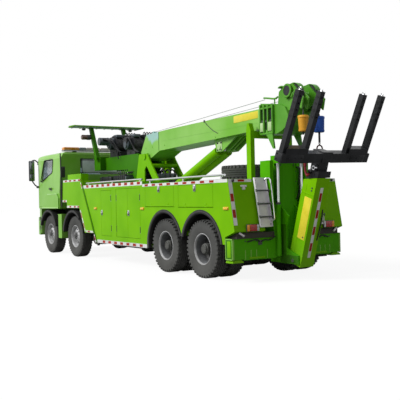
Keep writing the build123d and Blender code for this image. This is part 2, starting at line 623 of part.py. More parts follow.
def hook_lines():
    """Ropes with their end weights, hanging from the sheaves."""
    place = SHEAVE[0] + SHEAVE_R + ROPE_R + MOVING_GAP
    lines = Part()
    for y, low in ((SHEAVE_Y, 2560), (-SHEAVE_Y, 2360)):
        lines += rod((place, y, SHEAVE[1]), (place, y, low), ROPE_R)
        lines += Pos(at(place), y, 2715) * Cylinder(WEIGHT_R, 280)
    ring_part = Pos(at(place), -SHEAVE_Y, 2330) * Rot(0, 90, 0) * Torus(34, 9)
    return lines + ring_part


def lift_axis():
    run = (LIFT_EYE[0] - LIFT_BASE[0], LIFT_EYE[1] - LIFT_BASE[1])
    length = math.hypot(*run)
    return run[0] / length, run[1] / length, length


def lift_point(distance, y):
    """Point at a distance from the base pin along a lift cylinder."""
    ds, dz, length = lift_axis()
    return LIFT_BASE[0] + ds * distance, y, LIFT_BASE[1] + dz * distance


def lift_barrels():
    length = lift_axis()[2]
    barrel = rod(lift_point(110, LIFT_Y), lift_point(length - 165, LIFT_Y), BARREL_R)
    barrel -= rod(lift_point(150, LIFT_Y), lift_point(length, LIFT_Y), ROD_R + PIN_GAP)
    barrel += rod(lift_point(0, LIFT_Y), lift_point(112, LIFT_Y), 44)
    eye = rod((LIFT_BASE[0], LIFT_Y - 45, LIFT_BASE[1]), (LIFT_BASE[0], LIFT_Y + 45, LIFT_BASE[1]), 62)
    return pair(barrel + eye)


def lift_rods():
    length = lift_axis()[2]
    bar = rod(lift_point(160, LIFT_Y), lift_point(length - 40, LIFT_Y), ROD_R)
    eye = rod((LIFT_EYE[0], LIFT_Y - 45, LIFT_EYE[1]), (LIFT_EYE[0], LIFT_Y + 45, LIFT_EYE[1]), 75)
    return pair(bar + eye)


def boom_rest():
    post = block((8610, 8740), (400, 490), (REAR_TOP + FIT, 2700))
    post += side_prism([(8610, 2699), (8640, 2830), (8690, 2830), (8740, 2699)], 400, 490)
    saddle = block((8630, 8720), (-410, 410), (2560, 2690))
    return pair(post) + saddle


def ladders():
    """Access plates with rungs on the rear face, each with a handrail."""
    plate = side_prism([(9110, 1820), (9125, 1820), (9300, 950), (9285, 950)], 480, 735)
    rungs = Part()
    for height in (1130, 1360, 1590):
        station = 9300 - (height - 950) * 175 / 870
        rungs += rod((station + 40, 500, height), (station + 40, 720, height), 14)
        for y in (510, 710):
            rungs += rod((station - 8, y, height), (station + 40, y, height), 12)
    rail = rod((9262, 465, 1780), (9352, 465, 1080), 14)
    rail += rod((9262, 465, 1780), (9125, 495, 1780), 14) + rod((9352, 465, 1080), (9268, 495, 1080), 14)
    return pair(plate + rungs + rail)


def tail_lamps():
    return pair(block((9256, 9296), (745, 1010), (880, 1010)))


# ---- underlift ----------------------------------------------------------------------------------
def mast_frame():
    """Guide frame of the lifting column, with the rear beam and the outrigger housings."""
    y = COLUMN_HALF + MOVING_GAP + 4
    cheek = block((8880, 9190), (y, y + 70), (400, 1340))
    cheek += block((8900, 9180), (y + 70, y + 110), (FRAME_TOP - RAIL_H, 1340))
    cheek += block((8900, 9185), (y, 445), (1330, 1380))
    post = block((8950, 9230), (370, 445), (1370, MAST_POST_TOP))
    back = block((8870, 8900), (-y - 60, y + 60), (FRAME_TOP - RAIL_H, 1340))
    housing = block((8970, 9180), (y + 60, LEG_Y - 125), (385, 760))
    socket = block((8970, 9180), (LEG_Y - 135, HALF_WIDTH), (400, 760)) - outrigger_leg_core(MOVING_GAP)
    barrel = rod((9225, y + 35, 420), (9225, y + 35, 1340), 44) - rod((9225, y + 35, 470), (9225, y + 35, 1341), 30)
    web = block((9150, 9200), (y, y + 70), (400, 500))
    return pair(cheek + post + housing + socket + barrel + web) + back


def outrigger_leg_core(gap):
    half = LEG_SIZE / 2 + gap
    return block((9075 - half, 9075 + half), (LEG_Y - half, LEG_Y + half), (300, 900))


def outrigger_leg():
    """Square leg with a flared foot."""
    leg = outrigger_leg_core(0) & block((8900, 9200), (LEG_Y - LEG_SIZE, LEG_Y + LEG_SIZE), (390, 754))
    foot = cross_prism([(LEG_Y - 115, 345), (LEG_Y + 115, 345), (LEG_Y + 115, 365), (LEG_Y + 70, 393),
                        (LEG_Y - 70, 393), (LEG_Y - 115, 365)], 8970, 9180)
    return leg + foot


def mast_column():
    """Lifting column with its rods, top lugs and the jaw that carries the folding arm."""
    column = block(COLUMN, (-COLUMN_HALF, COLUMN_HALF), (300, COLUMN_TOP))
    column -= block((COLUMN[0] + 16, COLUMN[1] - 16), (-COLUMN_HALF + 16, COLUMN_HALF - 16), (316, COLUMN_TOP - 16))
    y = COLUMN_HALF + MOVING_GAP + 39
    rods = rod((9225, y, 630), (9225, y, COLUMN_TOP), 27)
    lug = block((9060, 9265), (COLUMN_HALF - 20, y + 25), (COLUMN_TOP - 60, COLUMN_TOP + 80))
    jaw = side_prism([(9150, 1330), (9400, 1130), (9330, 900), (9330, 560), (9640, 440), (9640, 290), (9150, 290)],
                     ARM_W / 2 + MOVING_GAP, ARM_W / 2 + MOVING_GAP + 30)
    pin = rod((ARM_PIVOT[0], -200, ARM_PIVOT[1]), (ARM_PIVOT[0], 200, ARM_PIVOT[1]), ARM_PIN_R)
    return column + pair(rods + lug + jaw) + pin


def arm_place(piece):
    """Place a piece drawn upright about the arm's pivot."""
    return Pos(at(ARM_PIVOT[0]), 0, ARM_PIVOT[1]) * Rot(0, -ARM_LEAN, 0) * piece


def upright(x, y, z):
    """Box about the arm's pivot from its X, Y and Z limits, before the arm leans."""
    size = [b - a for a, b in (x, y, z)]
    middle = [(a + b) / 2 for a, b in (x, y, z)]
    return Pos(*middle) * Box(*size)


def level_slice(low, high):
    """Slab across the arm between two heights on its axis, its faces level when the arm is folded."""
    slab = Pos(0, 0, (low + high) / 2) * Rot(0, ARM_LEAN, 0) * Box(900, 900, (high - low) * math.cos(math.radians(ARM_LEAN)))
    return slab


def lift_arm():
    half = ARM_W / 2
    arm = upright((-ARM_D / 2, ARM_D / 2), (-half, half), (-70, ARM_L + 80)) - level_slice(ARM_L, ARM_L + 300)
    arm -= upright((-NECK_D / 2 - MOVING_GAP, NECK_D / 2 + MOVING_GAP),
                   (-NECK_W / 2 - MOVING_GAP, NECK_W / 2 + MOVING_GAP), (300, ARM_L + 90))
    arm -= Rot(90, 0, 0) * Cylinder(ARM_PIN_R + PIN_GAP, ARM_W + 10)
    return arm_place(arm)


def arm_extension():
    """Sliding neck with the fork of the crossbar's pivot."""
    neck = upright((-NECK_D / 2, NECK_D / 2), (-NECK_W / 2, NECK_W / 2), (320, BAR_H - BAR_SIZE / 2 - MOVING_GAP))
    collar = upright((-ARM_D / 2 + 5, ARM_D / 2 - 45), (-half_arm() + 10, half_arm() - 10), (ARM_L - 70, ARM_L + 200))
    collar &= level_slice(ARM_L + MOVING_GAP + 2, ARM_L + 118)
    pin = Pos(0, 0, BAR_H - 90) * Cylinder(45, 180)
    return arm_place(neck + collar + pin)


def half_arm():
    return ARM_W / 2


def crossbar():
    """Crossbar with its hub, the fork sockets and the four upright forks."""
    half = BAR_SIZE / 2
    hub = upright((-BAR_BACK - half - 5, half + 20), (-115, 115), (BAR_H - half, BAR_H + half + 12))
    hub -= Pos(0, 0, BAR_H - 60) * Cylinder(45 + PIN_GAP, 130)
    bar = upright((-half, half), (-BAR_HALF, BAR_HALF), (-half, half))
    bar -= upright((-half - 1, half + 1), (-110, 110), (-half - 1, half + 1))
    for y in FORKS_Y:
        bar += pair(fork(y))
    bar += pair(upright((-half, half), (FORKS_Y[0], FORKS_Y[1]), (half - 1, half + 85)))
    tilt = Pos(-BAR_BACK, 0, BAR_H) * Rot(0, ARM_LEAN - FORK_LEAN, 0) * bar
    return arm_place(Rot(0, 0, BAR_SWING) * (hub + tilt))


def fork(y):
    """Upright fork on the bar, with its pin holes and the eye on its tip."""
    post = upright((-FORK_SIZE / 2, FORK_SIZE / 2), (y - FORK_SIZE / 2, y + FORK_SIZE / 2), (BAR_SIZE / 2 - 1, FORK_L))
    for place in range(4):
        post -= Pos(0, y, FORK_L - 90 - place * 110) * Rot(0, 90, 0) * Cylinder(17, FORK_SIZE + 10)
    return post + Pos(0, y, FORK_L + 22) * Rot(90, 0, 0) * Torus(22, 7)


def spare_wheel():
    wheel = tyre(0) + rim(0) + disc(40, 105) + hub(40, 140, 60, 90)
    return Pos(at(8010), 0, REAR_TOP + FIT + TYRE_W / 2) * Rot(90, 0, 0) * wheel


def parts():
    pieces = {
        "frame": frame(),
        "running_gear": running_gear(),
        "engine": engine(),
        "cab_shell": cab_shell(),
        "cab_glass": cab_glass(),
        "cab_interior": cab_interior(),
        "cab_skirts": cab_skirts(),
        "headlamps": headlamps(),
        "arch_liners": arch_liners(),
        "mirrors": mirrors(),
        "beacon_bar": beacon_bar(),
        "deck": deck(),
        "turret": turret(),
        "winch_platform": winch_platform(),
        "winches": winches(),
        "boom_rest": boom_rest(),
        "mast_frame": mast_frame(),
        "ladders": ladders(),
        "tail_lamps": tail_lamps(),
        "spare_wheel": spare_wheel(),
        "boom_outer": boom_outer(),
        "boom_inner": boom_inner(),
        "hook_lines": hook_lines(),
        "lift_barrels": lift_barrels(),
        "lift_rods": lift_rods(),
        "mast_column": mast_column(),
        "lift_arm": lift_arm(),
        "arm_extension": arm_extension(),
        "crossbar": crossbar(),
    }
    left = {
        "tool_body": tool_body(),
        "outrigger_leg": outrigger_leg(),
        "cab_door": cab_door(),
        "door_glass": door_glass(),
        "knuckle_1": knuckle(AXLE_1),
        "knuckle_2": knuckle(AXLE_2),
        "wheel_1": front_wheel(AXLE_1),
        "wheel_2": front_wheel(AXLE_2),
        "wheel_3": rear_wheel(AXLE_3),
        "wheel_4": rear_wheel(AXLE_4),
    }
    for name in TOOL_DOORS:
        left["door_" + name] = tool_door(name)
    for name, piece in left.items():
        pieces[name + "_left"] = piece
        pieces[name + "_right"] = other_side(piece)
    return pieces


os.makedirs("parts", exist_ok=True)
for node, piece in parts().items():
    export_step(piece, "parts/" + node + ".step")
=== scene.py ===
import bpy
import bmesh
import math
from mathutils import Matrix, Vector


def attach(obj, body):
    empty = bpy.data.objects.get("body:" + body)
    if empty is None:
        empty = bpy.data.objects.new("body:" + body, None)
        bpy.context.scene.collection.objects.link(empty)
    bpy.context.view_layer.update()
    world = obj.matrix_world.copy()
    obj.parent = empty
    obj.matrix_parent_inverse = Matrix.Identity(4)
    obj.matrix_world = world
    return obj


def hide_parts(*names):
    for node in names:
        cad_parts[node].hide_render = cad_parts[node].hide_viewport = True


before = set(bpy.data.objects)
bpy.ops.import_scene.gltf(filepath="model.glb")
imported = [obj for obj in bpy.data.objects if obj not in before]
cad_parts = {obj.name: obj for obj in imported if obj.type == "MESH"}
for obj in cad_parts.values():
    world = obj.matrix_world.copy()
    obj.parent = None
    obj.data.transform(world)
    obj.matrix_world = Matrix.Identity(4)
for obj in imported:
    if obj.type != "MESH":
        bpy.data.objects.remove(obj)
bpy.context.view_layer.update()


# ==== camera, lamps and floor ====
# A long lens looks at the truck's left side from behind and low down. One broad soft sun stands on
# the left, a white room fills the rest, and the truck stands on a pale plain floor.
scene = bpy.context.scene
scene.view_settings.view_transform = "Standard"


def new_material(name):
    """Empty material, its node tree and its shader."""
    material = bpy.data.materials.new(name)
    material.use_nodes = True
    return material, material.node_tree, material.node_tree.nodes["Principled BSDF"]


def feed(tree, node, *first, **named):
    """Fill a node's inputs, in order or by name, with values or with other nodes' outputs."""
    by_name = [(node.inputs[name.replace("_", " ")], value) for name, value in named.items()]
    for socket, value in [*zip(node.inputs, first), *by_name]:
        if isinstance(value, bpy.types.NodeSocket):
            tree.links.new(value, socket)
        else:
            socket.default_value = value


def add_node(tree, kind, *first, setting=None, **named):
    """New shader node, with its operation where it has one, and its inputs filled."""
    node = tree.nodes.new("ShaderNode" + kind)
    if kind == "Mix":
        node.data_type = "RGBA"
    if setting:
        node.operation = setting
    feed(tree, node, *first, **named)
    return node


lens = bpy.data.cameras.new("camera")
lens.lens = 60.66
lens.sensor_width = 36.0
lens.clip_end = 200
camera = bpy.data.objects.new("camera", lens)
camera.location = (-13.980, 7.848, 1.491)
camera.rotation_euler = [math.radians(turn) for turn in (89.782, 1.254, -122.284)]
scene.collection.objects.link(camera)
scene.camera = camera

sun = bpy.data.lights.new("soft_sun", "SUN")
sun.energy = 3.0
sun.angle = math.radians(24)
sun_lamp = bpy.data.objects.new("soft_sun", sun)
sun_lamp.rotation_euler = Vector((0.22, 0.74, 0.62)).to_track_quat("Z", "Y").to_euler()
scene.collection.objects.link(sun_lamp)

room = bpy.data.worlds.new("white_room")
room.use_nodes = True
scene.world = room
tree = room.node_tree
ray = add_node(tree, "LightPath").outputs
mirrored = add_node(tree, "Math", ray["Is Glossy Ray"], ray["Is Transmission Ray"], setting="MAXIMUM")
seen = add_node(tree, "Math", ray["Is Camera Ray"], mirrored.outputs["Value"], setting="MAXIMUM")
strength = add_node(tree, "MapRange", seen.outputs["Value"], To_Min=0.40, To_Max=1.0)
feed(tree, tree.nodes["Background"], Color=(1, 1, 1, 1), Strength=strength.outputs["Result"])

floor_mesh = bpy.data.meshes.new("floor")
floor_bm = bmesh.new()
bmesh.ops.create_grid(floor_bm, x_segments=1, y_segments=1, size=70)
floor_bm.to_mesh(floor_mesh)
floor_bm.free()
floor = bpy.data.objects.new("floor", floor_mesh)
scene.collection.objects.link(floor)
pale, tree, shader = new_material("pale_floor")
direct = add_node(tree, "LightPath").outputs["Is Camera Ray"]
whiten = add_node(tree, "Mix", Factor=direct, A=(0.24, 0.24, 0.24, 1), B=(0.9, 0.9, 0.9, 1))
feed(tree, shader, Base_Color=whiten.outputs["Result"], Roughness=0.9)
share = add_node(tree, "MapRange", direct, To_Max=0.88)
glow = add_node(tree, "Emission", Strength=1.03)
mix = add_node(tree, "MixShader", share.outputs["Result"], shader.outputs["BSDF"], glow.outputs["Emission"])
feed(tree, tree.nodes["Material Output"], Surface=mix.outputs["Shader"])
floor_mesh.materials.append(pale)


# ==== green paint on the cab, the bodies and the crane ====
# Sheet steel pressings and welded plates, sprayed lime green and baked. The coat has a faint orange
# peel, fades a little in patches, and carries road dust low down.
def surface(name, light, dark, patch=1.5, rough=(0.3, 0.45), metal=0.0, coat=0.0, grain=(90.0, 0.05),
            dust=None, gloss=0.5):
    """Material whose colour wanders between two tones, with grain in its relief and dust low down."""
    material, tree, shader = new_material(name)
    place = add_node(tree, "TexCoord").outputs["Object"]
    patches = add_node(tree, "TexNoise", Vector=place, Scale=patch, Detail=5).outputs["Fac"]
    spread = add_node(tree, "MapRange", patches, From_Min=0.3, From_Max=0.7).outputs["Result"]
    colour = add_node(tree, "Mix", Factor=spread, A=(*light, 1), B=(*dark, 1)).outputs["Result"]
    roughness = add_node(tree, "MapRange", patches, To_Min=rough[0], To_Max=rough[1]).outputs["Result"]
    if dust:
        dust_colour, dust_top, dust_most = dust
        height = add_node(tree, "SeparateXYZ", place).outputs["Z"]
        fall = add_node(tree, "MapRange", height, From_Min=dust_top, From_Max=0.25,
                        To_Max=dust_most).outputs["Result"]
        cloud = add_node(tree, "TexNoise", Vector=place, Scale=7, Detail=6, Roughness=0.65).outputs["Fac"]
        settle = add_node(tree, "Math", fall, cloud, setting="MULTIPLY").outputs["Value"]
        colour = add_node(tree, "Mix", Factor=settle, A=colour, B=(*dust_colour, 1)).outputs["Result"]
        dull = add_node(tree, "Math", roughness, settle, setting="ADD")
        dull.use_clamp = True
        roughness = dull.outputs["Value"]
    fine = add_node(tree, "TexNoise", Vector=place, Scale=grain[0], Detail=3).outputs["Fac"]
    relief = add_node(tree, "Bump", Strength=grain[1], Distance=0.004, Height=fine).outputs["Normal"]
    feed(tree, shader, Base_Color=colour, Roughness=roughness, Normal=relief, Metallic=metal,
         Coat_Weight=coat, Coat_Roughness=0.12, Specular_IOR_Level=gloss)
    return material


def finish_nodes(material, *names):
    """Put a material on CAD nodes."""
    for name in names:
        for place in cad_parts[name].material_slots:
            place.material = material


def both(*names):
    """Names of the left and right nodes."""
    return [name + side for name in names for side in ("_left", "_right")]


def paint(name, light, dark, **look):
    """Sprayed paint with a faint orange peel."""
    return surface(name, light, dark, grain=(140.0, 0.03), **look)


ROAD_DUST = (0.21, 0.18, 0.14)
LOW_DUST = (ROAD_DUST, 0.9, 0.14)
green = paint("green_paint", (0.198, 0.510, 0.0015), (0.150, 0.430, 0.001), rough=(0.28, 0.42), dust=LOW_DUST,
              gloss=0.05)
# A darker copy of the green: painted shade for the mast frame, the column and its wear strips.
shaded_deep_green = paint("shaded_deep_green", (0.085, 0.420, 0.0015), (0.060, 0.330, 0.001), rough=(0.30, 0.45),
                   dust=LOW_DUST, gloss=0.05)
# A still darker green, painted shade: the winch platform, the jaw plates, the inset plates of the beam ends,
# the body-edge flanges and a band on the boom carry it.
painted_shade_green = paint("shaded_green", (0.045, 0.210, 0.002), (0.030, 0.150, 0.001), rough=(0.35, 0.5),
                   dust=LOW_DUST, gloss=0.08)
finish_nodes(green, "turret", "boom_rest", "lift_barrels", "lift_arm")
finish_nodes(shaded_deep_green, "mast_frame", "mast_column")
finish_nodes(painted_shade_green, "winch_platform")
finish_nodes(green, *both("tool_body", "door_locker", "door_tall_front", "door_tall_rear", "door_arch_front",
                          "door_arch_rear", "outrigger_leg"))
# A paler copy of the green on the cab, its skirts and doors and the beam-end frames: painted sheen of the sky
# on the paint.
pale_sheen_green = paint("pale_sheen_green", (0.275, 0.560, 0.115), (0.175, 0.450, 0.030), patch=0.9,
                    rough=(0.24, 0.38), coat=0.08, dust=(ROAD_DUST, 0.9, 0.2), gloss=0.2)
finish_nodes(pale_sheen_green, "cab_shell", "cab_skirts", *both("cab_door"))
head_green = paint("head_green", (0.120, 0.370, 0.040), (0.055, 0.240, 0.008), patch=1.6, rough=(0.26, 0.40),
                   coat=0.05, gloss=0.15)
finish_nodes(head_green, "boom_inner")
# The boom's green is paler in the same way: a painted sheen of the sky on its sides.
boom_sheen_green = paint("boom_sheen_green", (0.275, 0.560, 0.115), (0.160, 0.450, 0.030), patch=1.1, rough=(0.24, 0.38),
                   coat=0.08, gloss=0.2)
finish_nodes(boom_sheen_green, "boom_outer")

# A ragged patch of paint at the boom's foot, in front of the seam, has chalked to a pale blue.
tree = boom_sheen_green.node_tree
shader = tree.nodes["Principled BSDF"]
place = add_node(tree, "TexCoord").outputs["Object"]
from_patch = add_node(tree, "Mapping", Vector=place, Location=(-0.06, 0, 3.09), Scale=(0.46, 4.0, 0.30))
from_patch.vector_type = "TEXTURE"
away = add_node(tree, "VectorMath", from_patch.outputs["Vector"], setting="LENGTH").outputs["Value"]
ragged = add_node(tree, "TexNoise", Vector=place, Scale=7, Detail=6, Roughness=0.7).outputs["Fac"]
edge = add_node(tree, "Math", away, ragged, setting="ADD").outputs["Value"]
worn = add_node(tree, "MapRange", edge, From_Min=1.54, From_Max=1.30, To_Max=0.80).outputs["Result"]
along = add_node(tree, "SeparateXYZ", place).outputs["X"]
before_seam = add_node(tree, "MapRange", along, From_Min=-0.31, From_Max=-0.29).outputs["Result"]
chalked = add_node(tree, "Math", worn, before_seam, setting="MULTIPLY").outputs["Value"]
base_coat = shader.inputs["Base Color"].links[0].from_socket
chalk = add_node(tree, "Mix", Factor=chalked, A=base_coat, B=(0.36, 0.56, 0.62, 1)).outputs["Result"]
feed(tree, shader, Base_Color=chalk)


# ==== chassis, axles and engine ====
# Rolled steel rails with bolted cross members, forged beams and cast axle cases, all sprayed black
# and grey with dried road dirt.
chassis_black = surface("chassis_black", (0.020, 0.020, 0.022), (0.042, 0.038, 0.034), patch=4.0,
                        rough=(0.55, 0.8), grain=(60.0, 0.2), dust=(ROAD_DUST, 1.3, 0.45), gloss=0.3)
finish_nodes(chassis_black, "frame", "running_gear", "engine", *both("knuckle_1", "knuckle_2"))


# ==== black paint on the crossbar, the winches and the small gear ====
# Satin black over mill scale, rubbed bare and grey where chains and pins run on it.
satin_black = surface("satin_black", (0.006, 0.007, 0.008), (0.020, 0.021, 0.024), patch=5.0,
                      rough=(0.32, 0.55), coat=0.04, grain=(120.0, 0.08), gloss=0.28)
finish_nodes(satin_black, "crossbar", "arm_extension", "mirrors", "winches")


# ==== arch liners ====
# Moulded rubber liners over the wheels, clipped inside the arches to keep the mud off the sheet metal.
# They are black and dull.
rubber = surface("black_rubber", (0.010, 0.010, 0.011), (0.022, 0.022, 0.021), patch=6.0, rough=(0.55, 0.75),
                 grain=(200.0, 0.1), dust=(ROAD_DUST, 1.2, 0.15), gloss=0.25)
finish_nodes(rubber, "arch_liners")


# ==== glass and the cab's inside ====
# Tinted safety glass in rubber seals. The seats and trim behind it are dark grey cloth and plastic.
def glass(name, colour, patch, haziest, **look):
    """Smooth material with a faint uneven haze over it."""
    material, tree, shader = new_material(name)
    place = add_node(tree, "TexCoord").outputs["Object"]
    haze = add_node(tree, "TexNoise", Vector=place, Scale=patch).outputs["Fac"]
    film = add_node(tree, "MapRange", haze, To_Min=0.02, To_Max=haziest).outputs["Result"]
    feed(tree, shader, Base_Color=(*colour, 1), Roughness=film, **look)
    return material


tinted = glass("tinted_glass", (0.42, 0.50, 0.52), 9, 0.09, Transmission_Weight=0.85, IOR=1.45)
finish_nodes(tinted, "cab_glass", *both("door_glass"))
trim = surface("grey_trim", (0.075, 0.078, 0.084), (0.045, 0.047, 0.050), patch=9.0, rough=(0.7, 0.9),
               grain=(420.0, 0.35))
finish_nodes(trim, "cab_interior")


# ==== deck, ladders and plates ====
# Rolled aluminium tread plate on the deck and the steps, dull and scuffed. The lift cylinders' rods
# are ground steel with hard chrome.
plate_grey = surface("tread_plate", (0.40, 0.41, 0.42), (0.27, 0.28, 0.29), patch=6.0, rough=(0.35, 0.6),
                     metal=0.75, grain=(70.0, 0.25), dust=(ROAD_DUST, 1.9, 0.5))
finish_nodes(plate_grey, "deck", "ladders")
chrome = surface("hard_chrome", (0.72, 0.73, 0.75), (0.60, 0.61, 0.63), patch=12.0, rough=(0.08, 0.2),
                 metal=1.0, grain=(300.0, 0.02))
finish_nodes(chrome, "lift_rods")


# ==== tyres ====
# Radial truck tyres, 1.08 m tall: a rubber carcass with ribs round its middle and moulded lugs over
# each shoulder. Dried mud greys the sidewalls. The rear tyres run in pairs on one hub.
TYRE_RADIUS = 0.540
TYRE_HALF = 0.145
RIM_RADIUS = 0.286
AXLES = {1: 0.0, 2: 1.85, 3: 6.80, 4: 8.17}
SIDES = (("left", 1), ("right", -1))


def at(station):
    """X of a place measured behind the first axle."""
    return 4.640 - station


def add_part(bm, part, place=Matrix()):
    """Move a small bmesh to its place and copy it into a larger one."""
    bmesh.ops.transform(part, matrix=place, verts=part.verts)
    shape = bpy.data.meshes.new("part")
    part.to_mesh(shape)
    part.free()
    bm.from_mesh(shape)
    bpy.data.meshes.remove(shape)


def add_turned(bm, profile, centre, axis=(0, 1, 0), sides=64, finish=0, start=0.0, turn=360.0, facing=1):
    """Turn a profile of (radius, distance along the axis) points. Across Y, start counts from +X.

    A facing of -1 turns the profile round to look along the axis the other way.
    """
    part = bmesh.new()
    points = [part.verts.new((radius, 0, along * facing)) for radius, along in profile]
    lines = [part.edges.new(ends) for ends in zip(points, points[1:])]
    bmesh.ops.rotate(part, verts=points, cent=(0, 0, 0), matrix=Matrix.Rotation(-math.radians(start), 3, "Z"))
    bmesh.ops.spin(part, geom=points + lines, cent=(0, 0, 0), axis=(0, 0, 1), angle=-math.radians(turn),
                   steps=sides, use_merge=turn == 360.0, use_duplicate=False)
    for face in part.faces:
        face.material_index = finish
    if tuple(axis) == (0, 1, 0):
        turned = Matrix.Rotation(math.radians(-90), 4, "X")
    else:
        turned = Vector(axis).to_track_quat("Z", "Y").to_matrix().to_4x4()
    add_part(bm, part, Matrix.Translation(Vector(centre)) @ turned)


def add_block(bm, low, high, edge=0.0, finish=0, steps=2):
    """Box between two corners, with its edges rounded."""
    made = bmesh.ops.create_cube(bm, size=1.0)["verts"]
    bmesh.ops.scale(bm, vec=[b - a for a, b in zip(low, high)], verts=made)
    bmesh.ops.translate(bm, vec=[(a + b) / 2 for a, b in zip(low, high)], verts=made)
    for face in {face for vert in made for face in vert.link_faces}:
        face.material_index = finish
    if edge:
        edges = list({line for vert in made for line in vert.link_edges})
        made = bmesh.ops.bevel(bm, geom=edges, offset=edge, offset_type="OFFSET", segments=steps, profile=0.5,
                               affect="EDGES", material=-1, clamp_overlap=True)["verts"]
    return made


def add_bar(bm, start, end, radius, finish=0, sides=16, end_radius=None):
    """Round bar between two points."""
    start, end = Vector(start), Vector(end)
    run = end - start
    place = Matrix.Translation((start + end) / 2) @ run.to_track_quat("Z", "Y").to_matrix().to_4x4()
    made = bmesh.ops.create_cone(bm, cap_ends=True, cap_tris=False, segments=sides, radius1=radius,
                                 radius2=radius if end_radius is None else end_radius, depth=run.length,
                                 matrix=place)["verts"]
    for face in {face for vert in made for face in vert.link_faces}:
        face.material_index = finish
    return made


def truck_place(place, out):
    """Point from its station, its distance out to one side and its height."""
    station, across, height = place
    return at(station), across * out, height


def truck_block(bm, low, high, out=1, edge=0.0, finish=0, steps=2):
    """Box between two corners given as (station, distance out, height)."""
    return add_block(bm, truck_place(low, out), truck_place(high, out), edge=edge, finish=finish, steps=steps)


def truck_bar(bm, start, end, radius, out=1, finish=0, sides=16, end_radius=None):
    """Round bar between two points given as (station, distance out, height)."""
    return add_bar(bm, truck_place(start, out), truck_place(end, out), radius, finish, sides, end_radius)


def add_bolts(bm, centre, radius, length, size, finish):
    """Ring of eight bolt heads that face along Y."""
    x, y, z = centre
    for number in range(8):
        turn = 2 * math.pi * number / 8
        foot = Vector((x + radius * math.cos(turn), y, z + radius * math.sin(turn)))
        add_bar(bm, foot, foot + Vector((0, length, 0)), size, finish=finish, sides=6)


def mesh_piece(bm, name, materials, crease=32):
    """Close a finished bmesh into an object at the origin."""
    bmesh.ops.remove_doubles(bm, verts=bm.verts, dist=0.00002)
    bmesh.ops.recalc_face_normals(bm, faces=bm.faces)
    mesh = bpy.data.meshes.new(name)
    bm.to_mesh(mesh)
    bm.free()
    for material in materials:
        mesh.materials.append(material)
    mesh.shade_smooth()
    mesh.set_sharp_from_angle(angle=math.radians(crease))
    piece = bpy.data.objects.new(name, mesh)
    scene.collection.objects.link(piece)
    return piece


def fit_piece(bm, name, body, materials, crease=32):
    """Finish a piece and let it ride on a body."""
    piece = mesh_piece(bm, name, materials, crease)
    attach(piece, body)
    return piece


def tyre_shape(lugs=40, lug_reach=0.040):
    """Carcass, ribs and shoulder lugs of one tyre about the Z axis."""
    bm = bmesh.new()
    half = TYRE_HALF
    carcass = [(RIM_RADIUS - 0.006, -0.80 * half), (RIM_RADIUS + 0.012, -0.86 * half), (0.330, -0.93 * half),
               (0.400, -half), (0.440, -0.995 * half), (0.474, -0.965 * half), (0.480, -0.975 * half),
               (0.498, -0.925 * half), (0.511, -0.84 * half), (0.519, -0.70 * half)]
    ribs = []
    for middle in (-0.062, -0.021, 0.021, 0.062):
        ribs += [(0.521, middle - 0.0172), (TYRE_RADIUS - 0.001, middle - 0.0150),
                 (TYRE_RADIUS - 0.001, middle + 0.0150), (0.521, middle + 0.0172)]
    whole = carcass + ribs + [(radius, -along) for radius, along in reversed(carcass)] + [carcass[0]]
    add_turned(bm, whole, (0, 0, 0), axis=(0, 0, 1), sides=80)
    for side in (-1, 1):
        for number in range(lugs):
            lug = add_block(bm, (0.480, -0.0205, 0.084), (TYRE_RADIUS, 0.0205, 0.090 + lug_reach + 0.012))
            shoulder = [vert for vert in lug if vert.co.z > 0.11 and vert.co.x > 0.52]
            bmesh.ops.translate(bm, vec=(-0.012, 0, 0), verts=shoulder)
            bmesh.ops.scale(bm, vec=(1, 1, side), verts=lug)
            turn = 2 * math.pi * (number + (0.5 if side > 0 else 0)) / lugs
            bmesh.ops.rotate(bm, verts=lug, cent=(0, 0, 0), matrix=Matrix.Rotation(turn, 3, "Z"))
    shape = bpy.data.meshes.new("tyre_shape")
    bm.to_mesh(shape)
    bm.free()
    return shape


front_tread = tyre_shape(lug_reach=0.030)
drive_tread = tyre_shape()


def add_tyre(bm, centre, axis=(0, 1, 0), tread=drive_tread):
    """One tyre in its place."""
    part = bmesh.new()
    part.from_mesh(tread)
    turned = Vector(axis).to_track_quat("Z", "Y").to_matrix().to_4x4()
    add_part(bm, part, Matrix.Translation(Vector(centre)) @ turned)


tyre_rubber = surface("tyre_rubber", (0.046, 0.047, 0.045), (0.080, 0.081, 0.078), patch=3.0,
                      rough=(0.7, 0.9), grain=(160.0, 0.25), dust=((0.17, 0.165, 0.15), 1.1, 0.40),
                      gloss=0.25)


# ==== steel rims and hubs ====
# Pressed steel disc wheels with hand holes, painted silver and dulled by brake dust. The front
# discs bulge outwards, the rear ones sit deep inside the outer rim round a long cast hub. The rear
# discs and rim barrels are darker greys, painted shade inside the deep rims.
BRAKE_DUST = (0.16, 0.14, 0.12)
rim_steel = surface("rim_steel", (0.58, 0.59, 0.60), (0.34, 0.34, 0.34), patch=8.0, rough=(0.35, 0.6),
                    metal=0.35, grain=(220.0, 0.15), dust=(BRAKE_DUST, 1.1, 0.35))
# rim_shade and the barrel grey are darker copies of the rim steel: painted shade for the rear discs and
# barrels. The front hubs use rim_shade too.
rim_shade = surface("rim_shade", (0.070, 0.074, 0.074), (0.036, 0.038, 0.038), patch=10.0, rough=(0.5, 0.75),
                    metal=0.2, grain=(220.0, 0.2), dust=(BRAKE_DUST, 1.1, 0.25), gloss=0.3)
shaded_barrel_grey = surface("shaded_barrel_grey", (0.235, 0.250, 0.265), (0.130, 0.135, 0.140), patch=8.0,
                      rough=(0.35, 0.6), metal=0.3, grain=(220.0, 0.15), dust=(BRAKE_DUST, 1.1, 0.35))
hub_grey = surface("hub_grey", (0.085, 0.092, 0.086), (0.050, 0.053, 0.050), patch=14.0, rough=(0.5, 0.75),
                   metal=0.2, grain=(180.0, 0.3), dust=(BRAKE_DUST, 1.1, 0.5))


